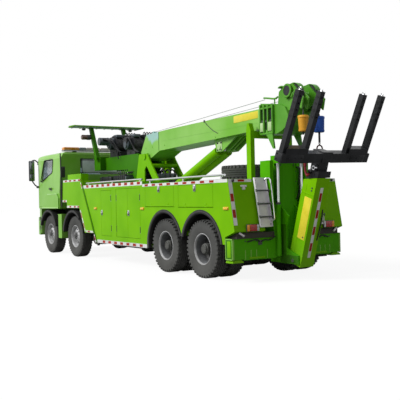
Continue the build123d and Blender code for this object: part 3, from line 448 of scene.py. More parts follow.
def add_rim(bm, centre, barrel=1):
    """Rim of a wheel: two rolled lips and the barrel between them, each closed as a thin wall."""
    half = 0.80 * TYRE_HALF
    for end in (-1, 1):
        lip = [(0.292, half + 0.010), (0.281, half + 0.012), (0.272, half - 0.004), (0.266, half - 0.018),
               (0.276, half - 0.024), (0.289, half - 0.004), (0.292, half + 0.010)]
        add_turned(bm, lip, centre, sides=72, finish=1, facing=end)
    wall = [(0.2655, -half + 0.018), (0.262, -half + 0.030), (0.262, half - 0.030), (0.2655, half - 0.018),
            (0.274, half - 0.022), (0.274, -half + 0.022), (0.2655, -half + 0.018)]
    add_turned(bm, wall, centre, sides=72, finish=barrel)


def add_disc(bm, centre, depths, out, holes=10, finish=1):
    """Wheel disc with hand holes between its hub flange and the rim. Depths run from hub to rim."""
    x, y, z = centre
    radii = (0.092, 0.128, 0.166, 0.205, 0.236, 0.262)
    disc = bmesh.new()
    points = [disc.verts.new((radius, 0, depth * out)) for radius, depth in zip(radii, depths)]
    lines = [disc.edges.new(ends) for ends in zip(points, points[1:])]
    bmesh.ops.spin(disc, geom=points + lines, cent=(0, 0, 0), axis=(0, 0, 1), angle=2 * math.pi,
                   steps=holes * 4, use_merge=True, use_duplicate=False)
    open_faces = []
    for face in disc.faces:
        middle = face.calc_center_median()
        radius = math.hypot(middle.x, middle.y)
        number = int(math.floor((math.atan2(middle.y, middle.x) % (2 * math.pi)) / (2 * math.pi) * holes * 4))
        if radii[2] < radius < radii[3] and number % 4 in (0, 1):
            open_faces.append(face)
    bmesh.ops.delete(disc, geom=open_faces, context="FACES")
    bmesh.ops.recalc_face_normals(disc, faces=disc.faces)
    bmesh.ops.solidify(disc, geom=disc.faces[:], thickness=0.010)
    bmesh.ops.recalc_face_normals(disc, faces=disc.faces)
    for face in disc.faces:
        face.material_index = finish
    add_part(bm, disc, Matrix.Translation((x, y, z)) @ Matrix.Rotation(math.radians(-90), 4, "X"))


def add_studs(bm, centre, face_y, radius, count, out, finish=1):
    """Ring of wheel nuts on their studs."""
    x, y, z = centre
    for number in range(count):
        turn = 2 * math.pi * (number + 0.5) / count
        foot = Vector((x + radius * math.cos(turn), y + face_y * out, z + radius * math.sin(turn)))
        away = Vector((0, out, 0))
        add_bar(bm, foot - away * 0.004, foot + away * 0.004, 0.021, finish=finish)
        add_bar(bm, foot, foot + away * 0.022, 0.0165, finish=finish, sides=6)
        add_bar(bm, foot + away * 0.018, foot + away * 0.036, 0.0095, finish=finish, sides=8,
                end_radius=0.007)


def add_front_hub(bm, centre, out):
    """Hub of a steered wheel with its cap, and the nuts that hold the disc."""
    profile = [(0.0, -0.055), (0.098, -0.055), (0.098, 0.098), (0.092, 0.106), (0.066, 0.108), (0.062, 0.128),
               (0.048, 0.136), (0.0, 0.138)]
    add_turned(bm, profile, centre, sides=40, finish=3, facing=out)
    add_studs(bm, centre, 0.104, 0.1165, 10, out)


def add_rear_hub(bm, centre, out):
    """Long hub of a driven wheel, with the bolted flange of its shaft, and the nuts that hold the discs."""
    x, y, z = centre
    profile = [(0.0, -0.12), (0.118, -0.12), (0.118, 0.060), (0.105, 0.070), (0.105, 0.235), (0.098, 0.245),
               (0.086, 0.248), (0.086, 0.268), (0.076, 0.277), (0.040, 0.279), (0.0, 0.279)]
    add_turned(bm, profile, centre, sides=40, finish=2, facing=out)
    add_bolts(bm, (x, y + 0.268 * out, z), 0.062, 0.016 * out, 0.008, finish=2)
    add_studs(bm, centre, 0.026, 0.1345, 10, out)


for side, out in SIDES:
    for number, station in AXLES.items():
        bm = bmesh.new()
        if number < 3:
            hub = (at(station), 1.030 * out, TYRE_RADIUS)
            add_tyre(bm, hub, tread=front_tread)
            add_rim(bm, hub)
            add_disc(bm, hub, (0.106, 0.104, 0.088, 0.058, 0.036, 0.028), out)
            add_front_hub(bm, hub, out)
        else:
            hub = (at(station), 0.920 * out, TYRE_RADIUS)
            for shift in (-0.170, 0.170):
                add_tyre(bm, (hub[0], hub[1] + shift * out, hub[2]))
                add_rim(bm, (hub[0], hub[1] + shift * out, hub[2]), barrel=4)
            add_disc(bm, hub, (0.024, 0.024, 0.034, 0.058, 0.076, 0.082), out, finish=3)
            add_disc(bm, hub, (0.004, 0.004, -0.010, -0.032, -0.052, -0.060), out, finish=3)
            add_rear_hub(bm, hub, out)
        wheel = fit_piece(bm, f"road_wheel_{number}_{side}", f"wheel_{number}_{side}",
                          [tyre_rubber, rim_steel, hub_grey, rim_shade, shaded_barrel_grey])
        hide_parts(f"wheel_{number}_{side}")


# ==== spare wheel ====
# A spare on its own rim, laid flat on the rear deck. A bolt with a wide washer through its middle
# holds it down.
bm = bmesh.new()
spare = (at(8.010), 0.0, 1.946)
add_tyre(bm, spare, axis=(0, 0, 1))
steel = bmesh.new()
add_rim(steel, (0, 0, 0))
add_disc(steel, (0, 0, 0), (0.106, 0.104, 0.088, 0.058, 0.036, 0.028), 1)
add_studs(steel, (0, 0, 0), 0.104, 0.1165, 10, 1)
add_part(bm, steel, Matrix.Translation(spare) @ Matrix.Rotation(math.radians(90), 4, "X"))
add_bar(bm, (spare[0], 0, 1.801), (spare[0], 0, 2.080), 0.016, finish=2)
add_bar(bm, (spare[0], 0, 2.050), (spare[0], 0, 2.062), 0.115, finish=2, sides=32)
spare_piece = fit_piece(bm, "spare_road_wheel", "chassis", [tyre_rubber, rim_steel, hub_grey])
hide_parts("spare_wheel")


# ==== reflective tape ====
# White and red reflective film stuck along the edges of the bodies, the panels behind the cab and
# the rear face. Each red block is printed on the white strip.
tape_white = surface("tape_white", (0.78, 0.79, 0.78), (0.66, 0.67, 0.66), patch=7.0, rough=(0.3, 0.45),
                     grain=(420.0, 0.2), dust=(ROAD_DUST, 1.4, 0.4), gloss=0.3)
tape_red = surface("tape_red", (0.42, 0.022, 0.006), (0.30, 0.014, 0.004), patch=9.0, rough=(0.3, 0.45),
                   grain=(420.0, 0.2), dust=(ROAD_DUST, 1.4, 0.2), gloss=0.15)
BODY_SIDE = 1.25


def add_tape(bm, start, end, width, out, reds, red_length=0.145, drop=0.0):
    """White strip between two (station, height) points on a body's side, with red blocks along it."""
    run = Vector((at(end[0]) - at(start[0]), end[1] - start[1]))
    pieces = add_block(bm, (0, BODY_SIDE * out, -width / 2),
                       (run.length, (BODY_SIDE + 0.0012) * out, width / 2))
    for middle in reds:
        low = (middle - red_length / 2, BODY_SIDE * out, -0.37 * width - drop)
        high = (middle + red_length / 2, (BODY_SIDE + 0.0022) * out, 0.37 * width - drop)
        pieces += add_block(bm, low, high, finish=1)
    turn = Matrix.Rotation(-math.atan2(run.y, run.x), 4, "Y")
    place = Matrix.Translation((at(start[0]), 0, start[1]))
    bmesh.ops.transform(bm, matrix=place @ turn, verts=pieces)


REAR_LEAN = 0.18 / 0.91
rear_face = at(9.25)
bm = bmesh.new()
for side, out in SIDES:
    add_tape(bm, (2.69, 1.818), (5.885, 1.818), 0.078, out, [0.25 + 0.309 * k for k in range(10)], drop=0.008)
    add_tape(bm, (5.895, 1.771), (9.065, 1.771), 0.056, out, [0.185 + 0.311 * k for k in range(9)])
    add_tape(bm, (3.485, 0.491), (6.055, 0.491), 0.078, out, [0.385 + 0.320 * k for k in range(7)])
    add_tape(bm, (1.285, 2.000), (2.470, 2.000), 0.056, out, [0.205 + 0.307 * k for k in range(4)])
    add_tape(bm, (1.530, 1.320), (2.365, 1.320), 0.054, out, [0.240, 0.550, 0.790], red_length=0.12)
    add_tape(bm, (1.222, 1.470), (1.520, 1.470), 0.054, out, [0.150])
    add_tape(bm, (2.800, 0.706), (3.225, 0.706), 0.048, out, [0.170])
    add_tape(bm, (2.445, 1.235), (2.745, 0.700), 0.046, out, [0.150, 0.450])
    add_tape(bm, (2.500, 1.935), (2.590, 1.785), 0.046, out, [0.090], red_length=0.10)
    add_tape(bm, (3.290, 0.640), (3.395, 0.462), 0.046, out, [0.100], red_length=0.10)
    rear = []
    for finish, low, high, bottom, top in ((0, 1.165, 1.243, 1.000, 1.742), (1, 1.172, 1.236, 1.410, 1.545),
                                           (1, 1.172, 1.236, 1.130, 1.270), (0, 0.745, 1.243, 1.745, 1.797),
                                           (1, 0.900, 1.040, 1.752, 1.790)):
        proud = 0.0012 + 0.001 * finish
        if side == "left" or top > 1.78:
            rear += add_block(bm, (rear_face - proud, low * out, bottom), (rear_face, high * out, top),
                              finish=finish)
    for vert in rear:
        vert.co.x += REAR_LEAN * (vert.co.z - 0.89)
fit_piece(bm, "reflective_tape", "chassis", [tape_white, tape_red])


# ==== arch trims and edge strips of the bodies ====
# Moulded black rubber lips pressed over the edges of the wheel arches, with a grey painted highlight
# along their outer faces. A folded steel flange in the darker painted-shade green closes the slanted
# front edge of each body, and two pressed mouldings, painted pale as a highlight, are riveted along
# the cab's side above its wheel.
highlight_rubber = surface("highlight_rubber", (0.060, 0.062, 0.064), (0.036, 0.037, 0.038), patch=9.0,
                      rough=(0.5, 0.7), grain=(220.0, 0.15), dust=(ROAD_DUST, 1.4, 0.3))
bm = bmesh.new()
for out in (1, -1):
    for station, radius, start, turn in ((0.0, 0.690, 22, 136), (1.85, 0.690, 12, 122),
                                         (6.80, 0.722, -7, 169), (8.17, 0.722, 18, 152)):
        reach = 0.0 if radius > 0.7 else -0.012
        middle = (at(station), (BODY_SIDE + reach) * out, TYRE_RADIUS)
        lip = [(radius - 0.072, -0.060), (radius + 0.002, -0.060), (radius + 0.004, 0.006),
               (radius - 0.004, 0.014), (radius - 0.060, 0.010), (radius - 0.070, 0.002),
               (radius - 0.072, -0.060)]
        # The band is a painted highlight along the outer face of the lip.
        band = [(radius - 0.040, 0.008), (radius - 0.012, 0.014), (radius - 0.012, 0.018),
                (radius - 0.040, 0.012), (radius - 0.040, 0.008)]
        for finish, profile in enumerate((lip, band)):
            add_turned(bm, profile, middle, sides=72, finish=finish, start=start, turn=turn, facing=out)
fit_piece(bm, "arch_lips", "chassis", [rubber, highlight_rubber])
bm = bmesh.new()
# The flange is in the darker green: painted shade along the body's slanted front edge.
for out in (1, -1):
    flange = add_block(bm, (-0.014, 1.225 * out, 0), (0.012, 1.262 * out, 1.640), edge=0.004)
    slope = Matrix.Rotation(math.atan2(3.480 - 2.642, 1.86 - 0.45), 4, "Y")
    place = Matrix.Translation((at(3.480) + 0.002, 0, 0.452))
    bmesh.ops.transform(bm, matrix=place @ slope, verts=flange)
fit_piece(bm, "body_edge_flange", "chassis", [painted_shade_green])
bm = bmesh.new()
for out in (1, -1):
    truck_block(bm, (0.860, 1.262, 1.648), (0.095, 1.291, 1.688), out, edge=0.013, steps=3)
    truck_block(bm, (0.940, 1.262, 1.268), (-0.360, 1.290, 1.304), out, edge=0.012, steps=3)
# The mouldings are painted pale green as a painted highlight where light catches them.
highlight_green = paint("highlight_green", (0.430, 0.700, 0.260), (0.330, 0.600, 0.180), patch=2.0, rough=(0.3, 0.45),
                   coat=0.05, gloss=0.2)
fit_piece(bm, "fender_mouldings", "chassis", [highlight_green])


# ==== latches, hinges and side lamps of the tool bodies ====
# Cast zinc paddle latches set in the doors, black lift-off hinges with bright pins on the tall doors,
# welded hinge knuckles under the flaps, and small amber side lamps.
def lamp_lens(name, light, dark, patch=20.0, rough=(0.15, 0.3)):
    """Moulded lens of a lamp: smooth outside, with fine flutes in its relief."""
    return surface(name, light, dark, patch=patch, rough=rough, coat=0.3, grain=(300.0, 0.3), gloss=0.5)


amber = lamp_lens("amber_lens", (0.85, 0.33, 0.010), (0.70, 0.24, 0.008))
HINGE_OUT = 1.237
DOOR_FACE = 1.258


def add_latch(bm, station, height, out, tall):
    """Paddle latch in its dished plate, under the round head of its lock."""
    for wide, deep, proud, low, high, edge, finish in ((0.040, -0.006, 0.006, 0.50, 0.50, 0.005, 0),
                                                       (0.026, 0.004, 0.008, 0.36, 0.20, 0.003, 1),
                                                       (0.018, 0.006, 0.022, 0.26, 0.16, 0.005, 0)):
        truck_block(bm, (station + wide, DOOR_FACE + deep, height - tall * low),
                    (station - wide, DOOR_FACE + proud, height + tall * high), out, edge=edge, finish=finish)
    lock = height + tall * 0.33
    truck_bar(bm, (station, DOOR_FACE + 0.004, lock), (station, DOOR_FACE + 0.016, lock), 0.011, out,
              sides=20)


latch_finishes = [chrome, rubber, satin_black, green]
for side, out in SIDES:
    for name, first, last, hinge in (("locker", 3.75, 4.31, "rear"), ("tall_front", 4.58, 5.166, "front"),
                                     ("tall_rear", 5.172, 5.77, "rear")):
        bm = bmesh.new()
        free = first + 0.055 if hinge == "rear" else last - 0.055
        edge = last - 0.013 if hinge == "rear" else first + 0.013
        if name == "tall_front":
            truck_block(bm, (free + 0.034, 1.244, 1.124), (free - 0.034, 1.262, 1.236), out, edge=0.006,
                        finish=3)
        else:
            add_latch(bm, free, 1.180, out, 0.120)
        for height in (0.82, 1.52):
            truck_bar(bm, (edge, HINGE_OUT, height - 0.065), (edge, HINGE_OUT, height + 0.065), 0.0172, out,
                      finish=2)
            truck_bar(bm, (edge, HINGE_OUT, height - 0.072), (edge, HINGE_OUT, height + 0.072), 0.0150, out)
        fit_piece(bm, f"latch_{name}_{side}", f"door_{name}_{side}", latch_finishes)
    for name, first, last, sill, top in (("arch_front", 6.02, 7.21, 1.32, 1.74),
                                         ("arch_rear", 7.39, 8.60, 1.31, 1.73)):
        bm = bmesh.new()
        add_latch(bm, (first + last) / 2, top - 0.060, out, 0.130)
        for station in (first + 0.24, last - 0.24):
            truck_bar(bm, (station + 0.045, HINGE_OUT, sill + 0.013),
                      (station - 0.045, HINGE_OUT, sill + 0.013), 0.0165, out, finish=3)
            truck_block(bm, (station + 0.030, 1.246, sill + 0.040), (station - 0.030, 1.254, sill + 0.075),
                        out, edge=0.002, finish=3)
        fit_piece(bm, f"latch_{name}_{side}", f"door_{name}_{side}", latch_finishes)
bm = bmesh.new()
for out in (1, -1):
    for station, height in ((3.42, 1.28), (5.88, 1.28), (9.01, 1.29)):
        x = at(station)
        add_block(bm, (x - 0.078, 1.248 * out, height - 0.028), (x + 0.078, 1.255 * out, height + 0.028),
                  edge=0.003, finish=1)
        add_block(bm, (x - 0.070, 1.250 * out, height - 0.023), (x + 0.070, 1.274 * out, height + 0.023),
                  edge=0.010, steps=3)
side_amber = lamp_lens("side_amber", (0.88, 0.56, 0.030), (0.76, 0.44, 0.020))
fit_piece(bm, "side_lamps", "chassis", [side_amber, amber])


# ==== hand rails along the bodies ====
# Polished stainless tube on short posts along the top edge of each body, for whoever walks the deck.
# Each post stands on a round foot that is screwed down.
RAIL_OUT = 1.20
bm = bmesh.new()
for out in (1, -1):
    for first, last, height, foot, posts in ((2.78, 5.79, 1.905, 1.86, (2.90, 4.30, 5.70)),
                                             (6.03, 8.92, 1.875, 1.80, (6.15, 7.50, 8.80))):
        truck_bar(bm, (first - 0.003, RAIL_OUT, height), (last + 0.003, RAIL_OUT, height), 0.0205, out,
                  sides=20)
        for station in posts:
            truck_bar(bm, (station, RAIL_OUT, foot), (station, RAIL_OUT, height), 0.0145, out, sides=14)
            truck_bar(bm, (station, RAIL_OUT, foot), (station, RAIL_OUT, foot + 0.008), 0.034, out, sides=20)
fit_piece(bm, "deck_rails", "chassis", [chrome])


# ==== cab trim: seals, handles, vents, grille and wipers ====
# Black rubber round every pane, moulded plastic handles, vents and grille, and pressed steel wiper
# arms. All of it is clipped or screwed to the cab's shell.
black_plastic = surface("black_plastic", (0.020, 0.021, 0.023), (0.034, 0.035, 0.037), patch=7.0,
                        rough=(0.4, 0.6), grain=(500.0, 0.2), dust=(ROAD_DUST, 1.5, 0.3))


def add_hose(bm, points, radius, finish=0, closed=False, smooth=True):
    """Round hose, pipe or seal drawn through a list of points."""
    curve = bpy.data.curves.new("hose", "CURVE")
    curve.dimensions = "3D"
    curve.bevel_depth = radius
    curve.bevel_resolution = 3
    curve.resolution_u = 6
    curve.use_fill_caps = True
    spline = curve.splines.new("NURBS" if smooth else "POLY")
    spline.points.add(len(points) - 1)
    for point, place in zip(spline.points, points):
        point.co = (*place, 1)
    if smooth:
        spline.order_u = 3
        spline.use_endpoint_u = not closed
    spline.use_cyclic_u = closed
    holder = bpy.data.objects.new("hose", curve)
    scene.collection.objects.link(holder)
    bpy.context.view_layer.update()
    tube = bpy.data.meshes.new_from_object(holder.evaluated_get(bpy.context.evaluated_depsgraph_get()))
    tube.polygons.foreach_set("material_index", [finish] * len(tube.polygons))
    bm.from_mesh(tube)
    bpy.data.objects.remove(holder)
    bpy.data.curves.remove(curve)
    bpy.data.meshes.remove(tube)


def truck_hose(bm, points, radius, out=1, finish=0, closed=False, smooth=True):
    """Hose through points given as (station, distance out, height)."""
    add_hose(bm, [truck_place(point, out) for point in points], radius, finish, closed, smooth)


SLAT_PITCH = 0.038


def cab_side(height):
    """How far out the cab's side wall stands at a height."""
    return BODY_SIDE - 0.055 * max(0.0, height - 1.75) / 0.91


def cab_nose(height):
    """Station of the windscreen's plane at a height."""
    return -1.35 + 0.15 * max(0.0, height - 1.72) / 0.79


for side, out in SIDES:
    bm = bmesh.new()
    pane = ((0.390, 2.655), (0.380, 2.280), (-0.580, 2.030), (-0.340, 2.655))
    corners = []
    for (s0, z0), (s1, z1) in zip(pane, pane[1:] + pane[:1]):
        for share in (0.04, 0.5, 0.96):
            s, z = s0 + (s1 - s0) * share, z0 + (z1 - z0) * share
            corners.append((s, cab_side(z) + 0.001, z))
    truck_hose(bm, corners, 0.013, out, closed=True)
    wall = cab_side(1.80)
    truck_block(bm, (0.375, wall, 1.792), (0.215, wall + 0.008, 1.858), out, edge=0.012, finish=1)
    truck_block(bm, (0.362, wall + 0.006, 1.806), (0.228, wall + 0.040, 1.846), out, edge=0.010, finish=1,
                steps=3)
    truck_bar(bm, (0.190, wall - 0.004, 1.826), (0.190, wall + 0.006, 1.826), 0.012, out, finish=2, sides=20)
    fit_piece(bm, f"door_trim_{side}", f"cab_door_{side}", [rubber, black_plastic, chrome])

bm = bmesh.new()
rear_pane = []
for y, z in ((0.63, 2.21), (0.63, 2.65), (-0.63, 2.65), (-0.63, 2.21)):
    above = (at(1.003), y, z + math.copysign(0.05, 2.4 - z))
    beside = (at(1.003), y - math.copysign(0.05, y), z)
    rear_pane += [beside, above] if y * (z - 2.4) > 0 else [above, beside]
add_hose(bm, rear_pane, 0.016, closed=True, smooth=False)
truck_block(bm, (1.0055, -0.590, 2.245), (1.0025, 0.590, 2.615), edge=0.001, finish=4)
screen_corners = ((1.01, 1.79), (0.95, 2.51), (-0.95, 2.51), (-1.01, 1.79))
screen = [(at(cab_nose(z) - 0.002), y, z) for y, z in screen_corners]
add_hose(bm, screen, 0.017, closed=True, smooth=False)
for out in (1, -1):
    truck_block(bm, (1.012, 1.085, 2.120), (1.000, 1.195, 2.420), out, edge=0.004, finish=1)
    for row in range(7):
        slat = truck_block(bm, (1.024, 1.092, 2.140 + SLAT_PITCH * row),
                           (1.008, 1.188, 2.152 + SLAT_PITCH * row), out, finish=1)
        bmesh.ops.rotate(bm, verts=slat, cent=(at(1.016), 1.14 * out, 2.146 + SLAT_PITCH * row),
                         matrix=Matrix.Rotation(math.radians(-30), 3, "Y"))
    truck_hose(bm, [(1.02, 1.215, 2.78), (1.03, 1.215, 2.30), (1.03, 1.205, 1.60), (1.02, 1.205, 1.32)],
               0.018, out, finish=1)
    pivot = Vector((at(-1.362), 0.62 * out, 1.745))
    tip = Vector((at(cab_nose(2.20) - 0.020), 0.05 * out, 2.20))
    add_bar(bm, pivot - Vector((0.02, 0, 0)), pivot + Vector((0.020, 0, 0)), 0.020, finish=1)
    add_bar(bm, pivot, tip, 0.009, finish=1, end_radius=0.006)
    blade = Vector((0, 0.30 * out, 0.10))
    add_bar(bm, tip - blade, tip + blade, 0.008, finish=1)
truck_block(bm, (-1.345, -0.78, 1.330), (-1.362, 0.78, 1.670), edge=0.010, finish=1)
for row in range(5):
    truck_block(bm, (-1.352, -0.74, 1.358 + 0.062 * row), (-1.384, 0.74, 1.386 + 0.062 * row), edge=0.008,
                finish=1)
for y in (-0.50, 0.0, 0.50):
    truck_block(bm, (-1.352, y - 0.012, 1.345), (-1.376, y + 0.012, 1.655), edge=0.004, finish=1)
truck_block(bm, (-1.398, -0.26, 0.620), (-1.406, 0.26, 0.740), edge=0.003, finish=3)
truck_block(bm, (-1.399, -0.52, 0.540), (-1.404, 0.52, 0.600), edge=0.002, finish=1)
truck_block(bm, (-1.399, -0.50, 0.800), (-1.405, 0.50, 0.930), edge=0.006, finish=1)
for row in range(3):
    truck_block(bm, (-1.402, -0.48, 0.815 + SLAT_PITCH * row), (-1.412, 0.48, 0.832 + SLAT_PITCH * row),
                edge=0.004, finish=1)
for out in (1, -1):
    for height in (0.640, 0.900):
        truck_block(bm, (-0.960, 1.105, height), (-0.780, 1.166, height + 0.120), out, edge=0.010, finish=1)
        truck_block(bm, (-0.950, 1.120, height + 0.004), (-0.790, 1.174, height + 0.020), out, edge=0.005,
                    finish=3)
window_film = surface("window_film", (0.78, 0.86, 0.90), (0.50, 0.56, 0.60), patch=3.0, rough=(0.12, 0.3),
                      coat=0.3, grain=(300.0, 0.05))
fit_piece(bm, "cab_trim", "chassis", [rubber, black_plastic, chrome, plate_grey, window_film])


# ==== mirrors ====
# Moulded plastic housings on tubular arms, with a flat main glass and a small wide-angle glass
# below it, both facing backwards.
silvered = glass("mirror_glass", (0.16, 0.18, 0.19), 14, 0.12, Metallic=1.0)
MIRROR_ARM = -0.915
bm = bmesh.new()
for out in (1, -1):
    truck_block(bm, (-0.870, 1.300, 2.080), (-0.940, 1.470, 2.680), out, edge=0.028, steps=4)
    for low, high in ((2.300, 2.660), (2.100, 2.275)):
        truck_block(bm, (-0.874, 1.315, low), (-0.864, 1.455, high), out, edge=0.004, finish=1)
    truck_hose(bm, [(MIRROR_ARM, 1.150, 2.600), (-0.920, 1.240, 2.685), (MIRROR_ARM, 1.320, 2.712),
                    (-0.907, 1.385, 2.660)], 0.018, out)
    truck_hose(bm, [(MIRROR_ARM, 1.180, 1.900), (-0.920, 1.250, 1.930), (MIRROR_ARM, 1.330, 2.010),
                    (-0.907, 1.380, 2.100)], 0.018, out)
    for height in (1.870, 2.560):
        wall = cab_side(height + 0.03) - 0.05
        truck_block(bm, (-0.888, wall - 0.02, height), (-0.945, wall + 0.050, height + 0.065), out,
                    edge=0.010)
mirror_piece = fit_piece(bm, "door_mirrors", "chassis", [black_plastic, silvered])
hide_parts("mirrors")


# ==== lamps on the bumper and the wing ====
# Clear lamp glasses over bright dished reflectors in black cases. Round work lamps hang under the
# wing, and a brown one in a black cup sits on its left leg.
clear_glass, tree, shader = new_material("clear_lens")
place = add_node(tree, "TexCoord").outputs["Object"]
flutes = add_node(tree, "TexWave", Vector=place, Scale=38)
flutes.bands_direction = "Y"
relief = add_node(tree, "Bump", Strength=0.35, Distance=0.003, Height=flutes.outputs["Fac"])
feed(tree, shader, Base_Color=(0.80, 0.84, 0.86, 1), Transmission_Weight=0.75, Roughness=0.08,
     Normal=relief.outputs["Normal"])
red_lens = lamp_lens("red_lens", (0.50, 0.010, 0.008), (0.36, 0.008, 0.006), patch=24.0, rough=(0.12, 0.25))
brown_glass = surface("brown_glass", (0.120, 0.050, 0.030), (0.070, 0.030, 0.020), patch=18.0,
                      rough=(0.15, 0.3), coat=0.3, grain=(300.0, 0.2), gloss=0.5)
bm = bmesh.new()
for out in (1, -1):
    truck_block(bm, (-1.385, 0.550, 0.750), (-1.412, 0.800, 0.910), out, edge=0.012)
    truck_block(bm, (-1.405, 0.562, 0.762), (-1.424, 0.788, 0.898), out, edge=0.010, finish=2, steps=3)
    for y in (0.615, 0.725):
        dish = [(0.010, 0.016), (0.030, 0.012), (0.044, 0.002), (0.048, -0.006), (0.046, -0.010),
                (0.010, 0.008), (0.010, 0.016)]
        add_turned(bm, dish, (at(-1.408), y * out, 0.830), axis=(1, 0, 0), sides=32, finish=1, facing=-1)
    add_turned(bm, [(0.0, -0.046), (0.034, -0.044), (0.052, -0.026), (0.055, -0.002), (0.050, 0.0),
                    (0.0, 0.0)], (at(1.470), 0.700 * out, 3.430), axis=(0, 0, 1), sides=32)
    add_turned(bm, [(0.0, -0.054), (0.026, -0.052), (0.046, -0.044), (0.048, -0.036), (0.0, -0.036)],
               (at(1.470), 0.700 * out, 3.430), axis=(0, 0, 1), sides=32, finish=2)
    truck_block(bm, (1.455, 0.690, 3.425), (1.485, 0.710, 3.478), out, edge=0.004)
head_piece = fit_piece(bm, "bumper_and_wing_lamps", "chassis",
                       [black_plastic, chrome, clear_glass])
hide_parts("headlamps")
bm = bmesh.new()
add_turned(bm, [(0.0, 0.0), (0.062, 0.0), (0.070, 0.012), (0.070, 0.100), (0.062, 0.112), (0.0, 0.114)],
           (at(1.510), 0.530, 3.190), sides=32)
add_turned(bm, [(0.0, 0.106), (0.064, 0.106), (0.067, 0.235), (0.058, 0.252), (0.0, 0.260)],
           (at(1.510), 0.530, 3.190), sides=32, finish=1)
truck_block(bm, (1.580, 0.500, 3.160), (1.480, 0.545, 3.220), edge=0.006)
fit_piece(bm, "leg_lamp", "chassis", [black_plastic, brown_glass])


# ==== beacon bar ====
# Aluminium tray across the cab's roof with amber domes at its ends, grey speaker housings between
# and a clear middle dome. Two rubber feet hold it.
beacon_grey = surface("beacon_grey", (0.30, 0.33, 0.36), (0.22, 0.24, 0.27), patch=10.0, rough=(0.35, 0.5),
                      grain=(300.0, 0.1))
milky = surface("milky_dome", (0.80, 0.74, 0.72), (0.68, 0.60, 0.58), patch=10.0, rough=(0.2, 0.35), coat=0.2,
                grain=(300.0, 0.1))
bm = bmesh.new()
truck_block(bm, (0.955, -1.080, 2.850), (0.765, 1.080, 2.884), edge=0.006, finish=3)
for first, last, finish in ((1.078, 0.620, 0), (0.616, 0.420, 1), (0.416, 0.010, 2), (-0.010, -0.416, 2),
                            (-0.420, -0.616, 1), (-0.620, -1.078, 0)):
    truck_block(bm, (0.950, first, 2.872), (0.770, last, 2.962), edge=0.026, finish=finish, steps=4)
for y in (-0.740, 0.740):
    truck_block(bm, (0.930, y - 0.040, 2.830), (0.790, y + 0.040, 2.852), edge=0.004, finish=4)
beacon_piece = fit_piece(bm, "roof_beacons", "chassis",
                         [amber, beacon_grey, milky, plate_grey, rubber])
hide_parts("beacon_bar")


# ==== winches ====
# Two hydraulic winches on the beam ahead of the tower: rope wound on each drum, cast motors with
# ribbed cases, and black hoses from the valve blocks. The front one has a long gear case on its left.
rope_steel = surface("wire_rope", (0.090, 0.092, 0.095), (0.045, 0.045, 0.046), patch=22.0, rough=(0.35, 0.6),
                     metal=0.5, grain=(520.0, 0.6))
motor_grey = surface("motor_grey", (0.060, 0.082, 0.100), (0.034, 0.046, 0.058), patch=8.0,
                     rough=(0.35, 0.55), coat=0.1, grain=(160.0, 0.15))
bm = bmesh.new()
for station, height in ((2.42, 2.92), (3.42, 2.85)):
    coil = []
    for number in range(28):
        along = -0.235 + 0.0168 * number
        coil += [(0.191, along), (0.199, along + 0.0042), (0.201, along + 0.0084), (0.199, along + 0.0126)]
    add_turned(bm, coil, (at(station), 0, height), sides=56)
    for out in (1, -1):
        ribs = [(0.112, 0.276), (0.128, 0.280)]
        for rib in range(5):
            groove = 0.292 + 0.020 * rib
            ribs += [(0.128, groove), (0.114, groove + 0.002), (0.114, groove + 0.010),
                     (0.128, groove + 0.012)]
        ribs += [(0.118, 0.400), (0.085, 0.406), (0.080, 0.430), (0.0, 0.432)]
        add_turned(bm, ribs, (at(station), 0, height), sides=40, finish=1, facing=out)
        add_bolts(bm, (at(station), 0.275 * out, height), 0.205, 0.014 * out, 0.013, finish=2)
    truck_block(bm, (station + 0.20, -0.30, height + 0.170), (station + 0.02, 0.02, height + 0.250),
                edge=0.008, finish=2)
    truck_block(bm, (station + 0.16, 0.06, height + 0.190), (station - 0.06, 0.24, height + 0.262),
                edge=0.010, finish=1)
    for number in range(4):
        y = -0.26 + 0.075 * number
        truck_bar(bm, (station + 0.11, y, height + 0.250), (station + 0.11, y, height + 0.285), 0.014,
                  finish=3, sides=6)
        truck_hose(bm, [(station + 0.11, y, height + 0.280), (station + 0.15, y - 0.02, height + 0.330),
                        (station + 0.27, y + 0.03, height + 0.260),
                        (station + 0.30, y + 0.06, height + 0.020),
                        (station + 0.36, y + 0.05, height - 0.200)], 0.012, finish=2)
    for end, drop in ((0.30, 0.10), (0.33, 0.04)):
        truck_hose(bm, [(station - 0.05, end, height + 0.13), (station + 0.02, end + 0.05, height + 0.22),
                        (station + 0.20, end + 0.03, height + 0.10 - drop),
                        (station + 0.28, end - 0.02, height - 0.16),
                        (station + 0.45, end - 0.04, height - 0.22)], 0.014, finish=2)
flange = [(0.0, 0.270), (0.110, 0.272), (0.110, 0.300), (0.101, 0.304), (0.101, 0.420), (0.108, 0.426),
          (0.108, 0.450), (0.102, 0.456), (0.102, 0.660), (0.092, 0.684), (0.050, 0.690), (0.0, 0.690)]
add_turned(bm, flange, (at(2.42), 0, 3.00), sides=48, finish=1)
add_bolts(bm, (at(2.42), 0.452, 3.00), 0.096, 0.016, 0.009, finish=3)
truck_block(bm, (2.53, 0.46, 2.995), (2.47, 0.62, 3.085), edge=0.010, finish=2)
for y in (0.50, 0.58):
    truck_hose(bm, [(2.53, y, 3.04), (2.66, y, 3.06), (2.78, y - 0.10, 2.92), (2.86, y - 0.20, 2.70),
                    (2.90, y - 0.22, 2.52)], 0.014, finish=2)
fit_piece(bm, "winch_gear", "chassis", [rope_steel, motor_grey, satin_black, chrome])


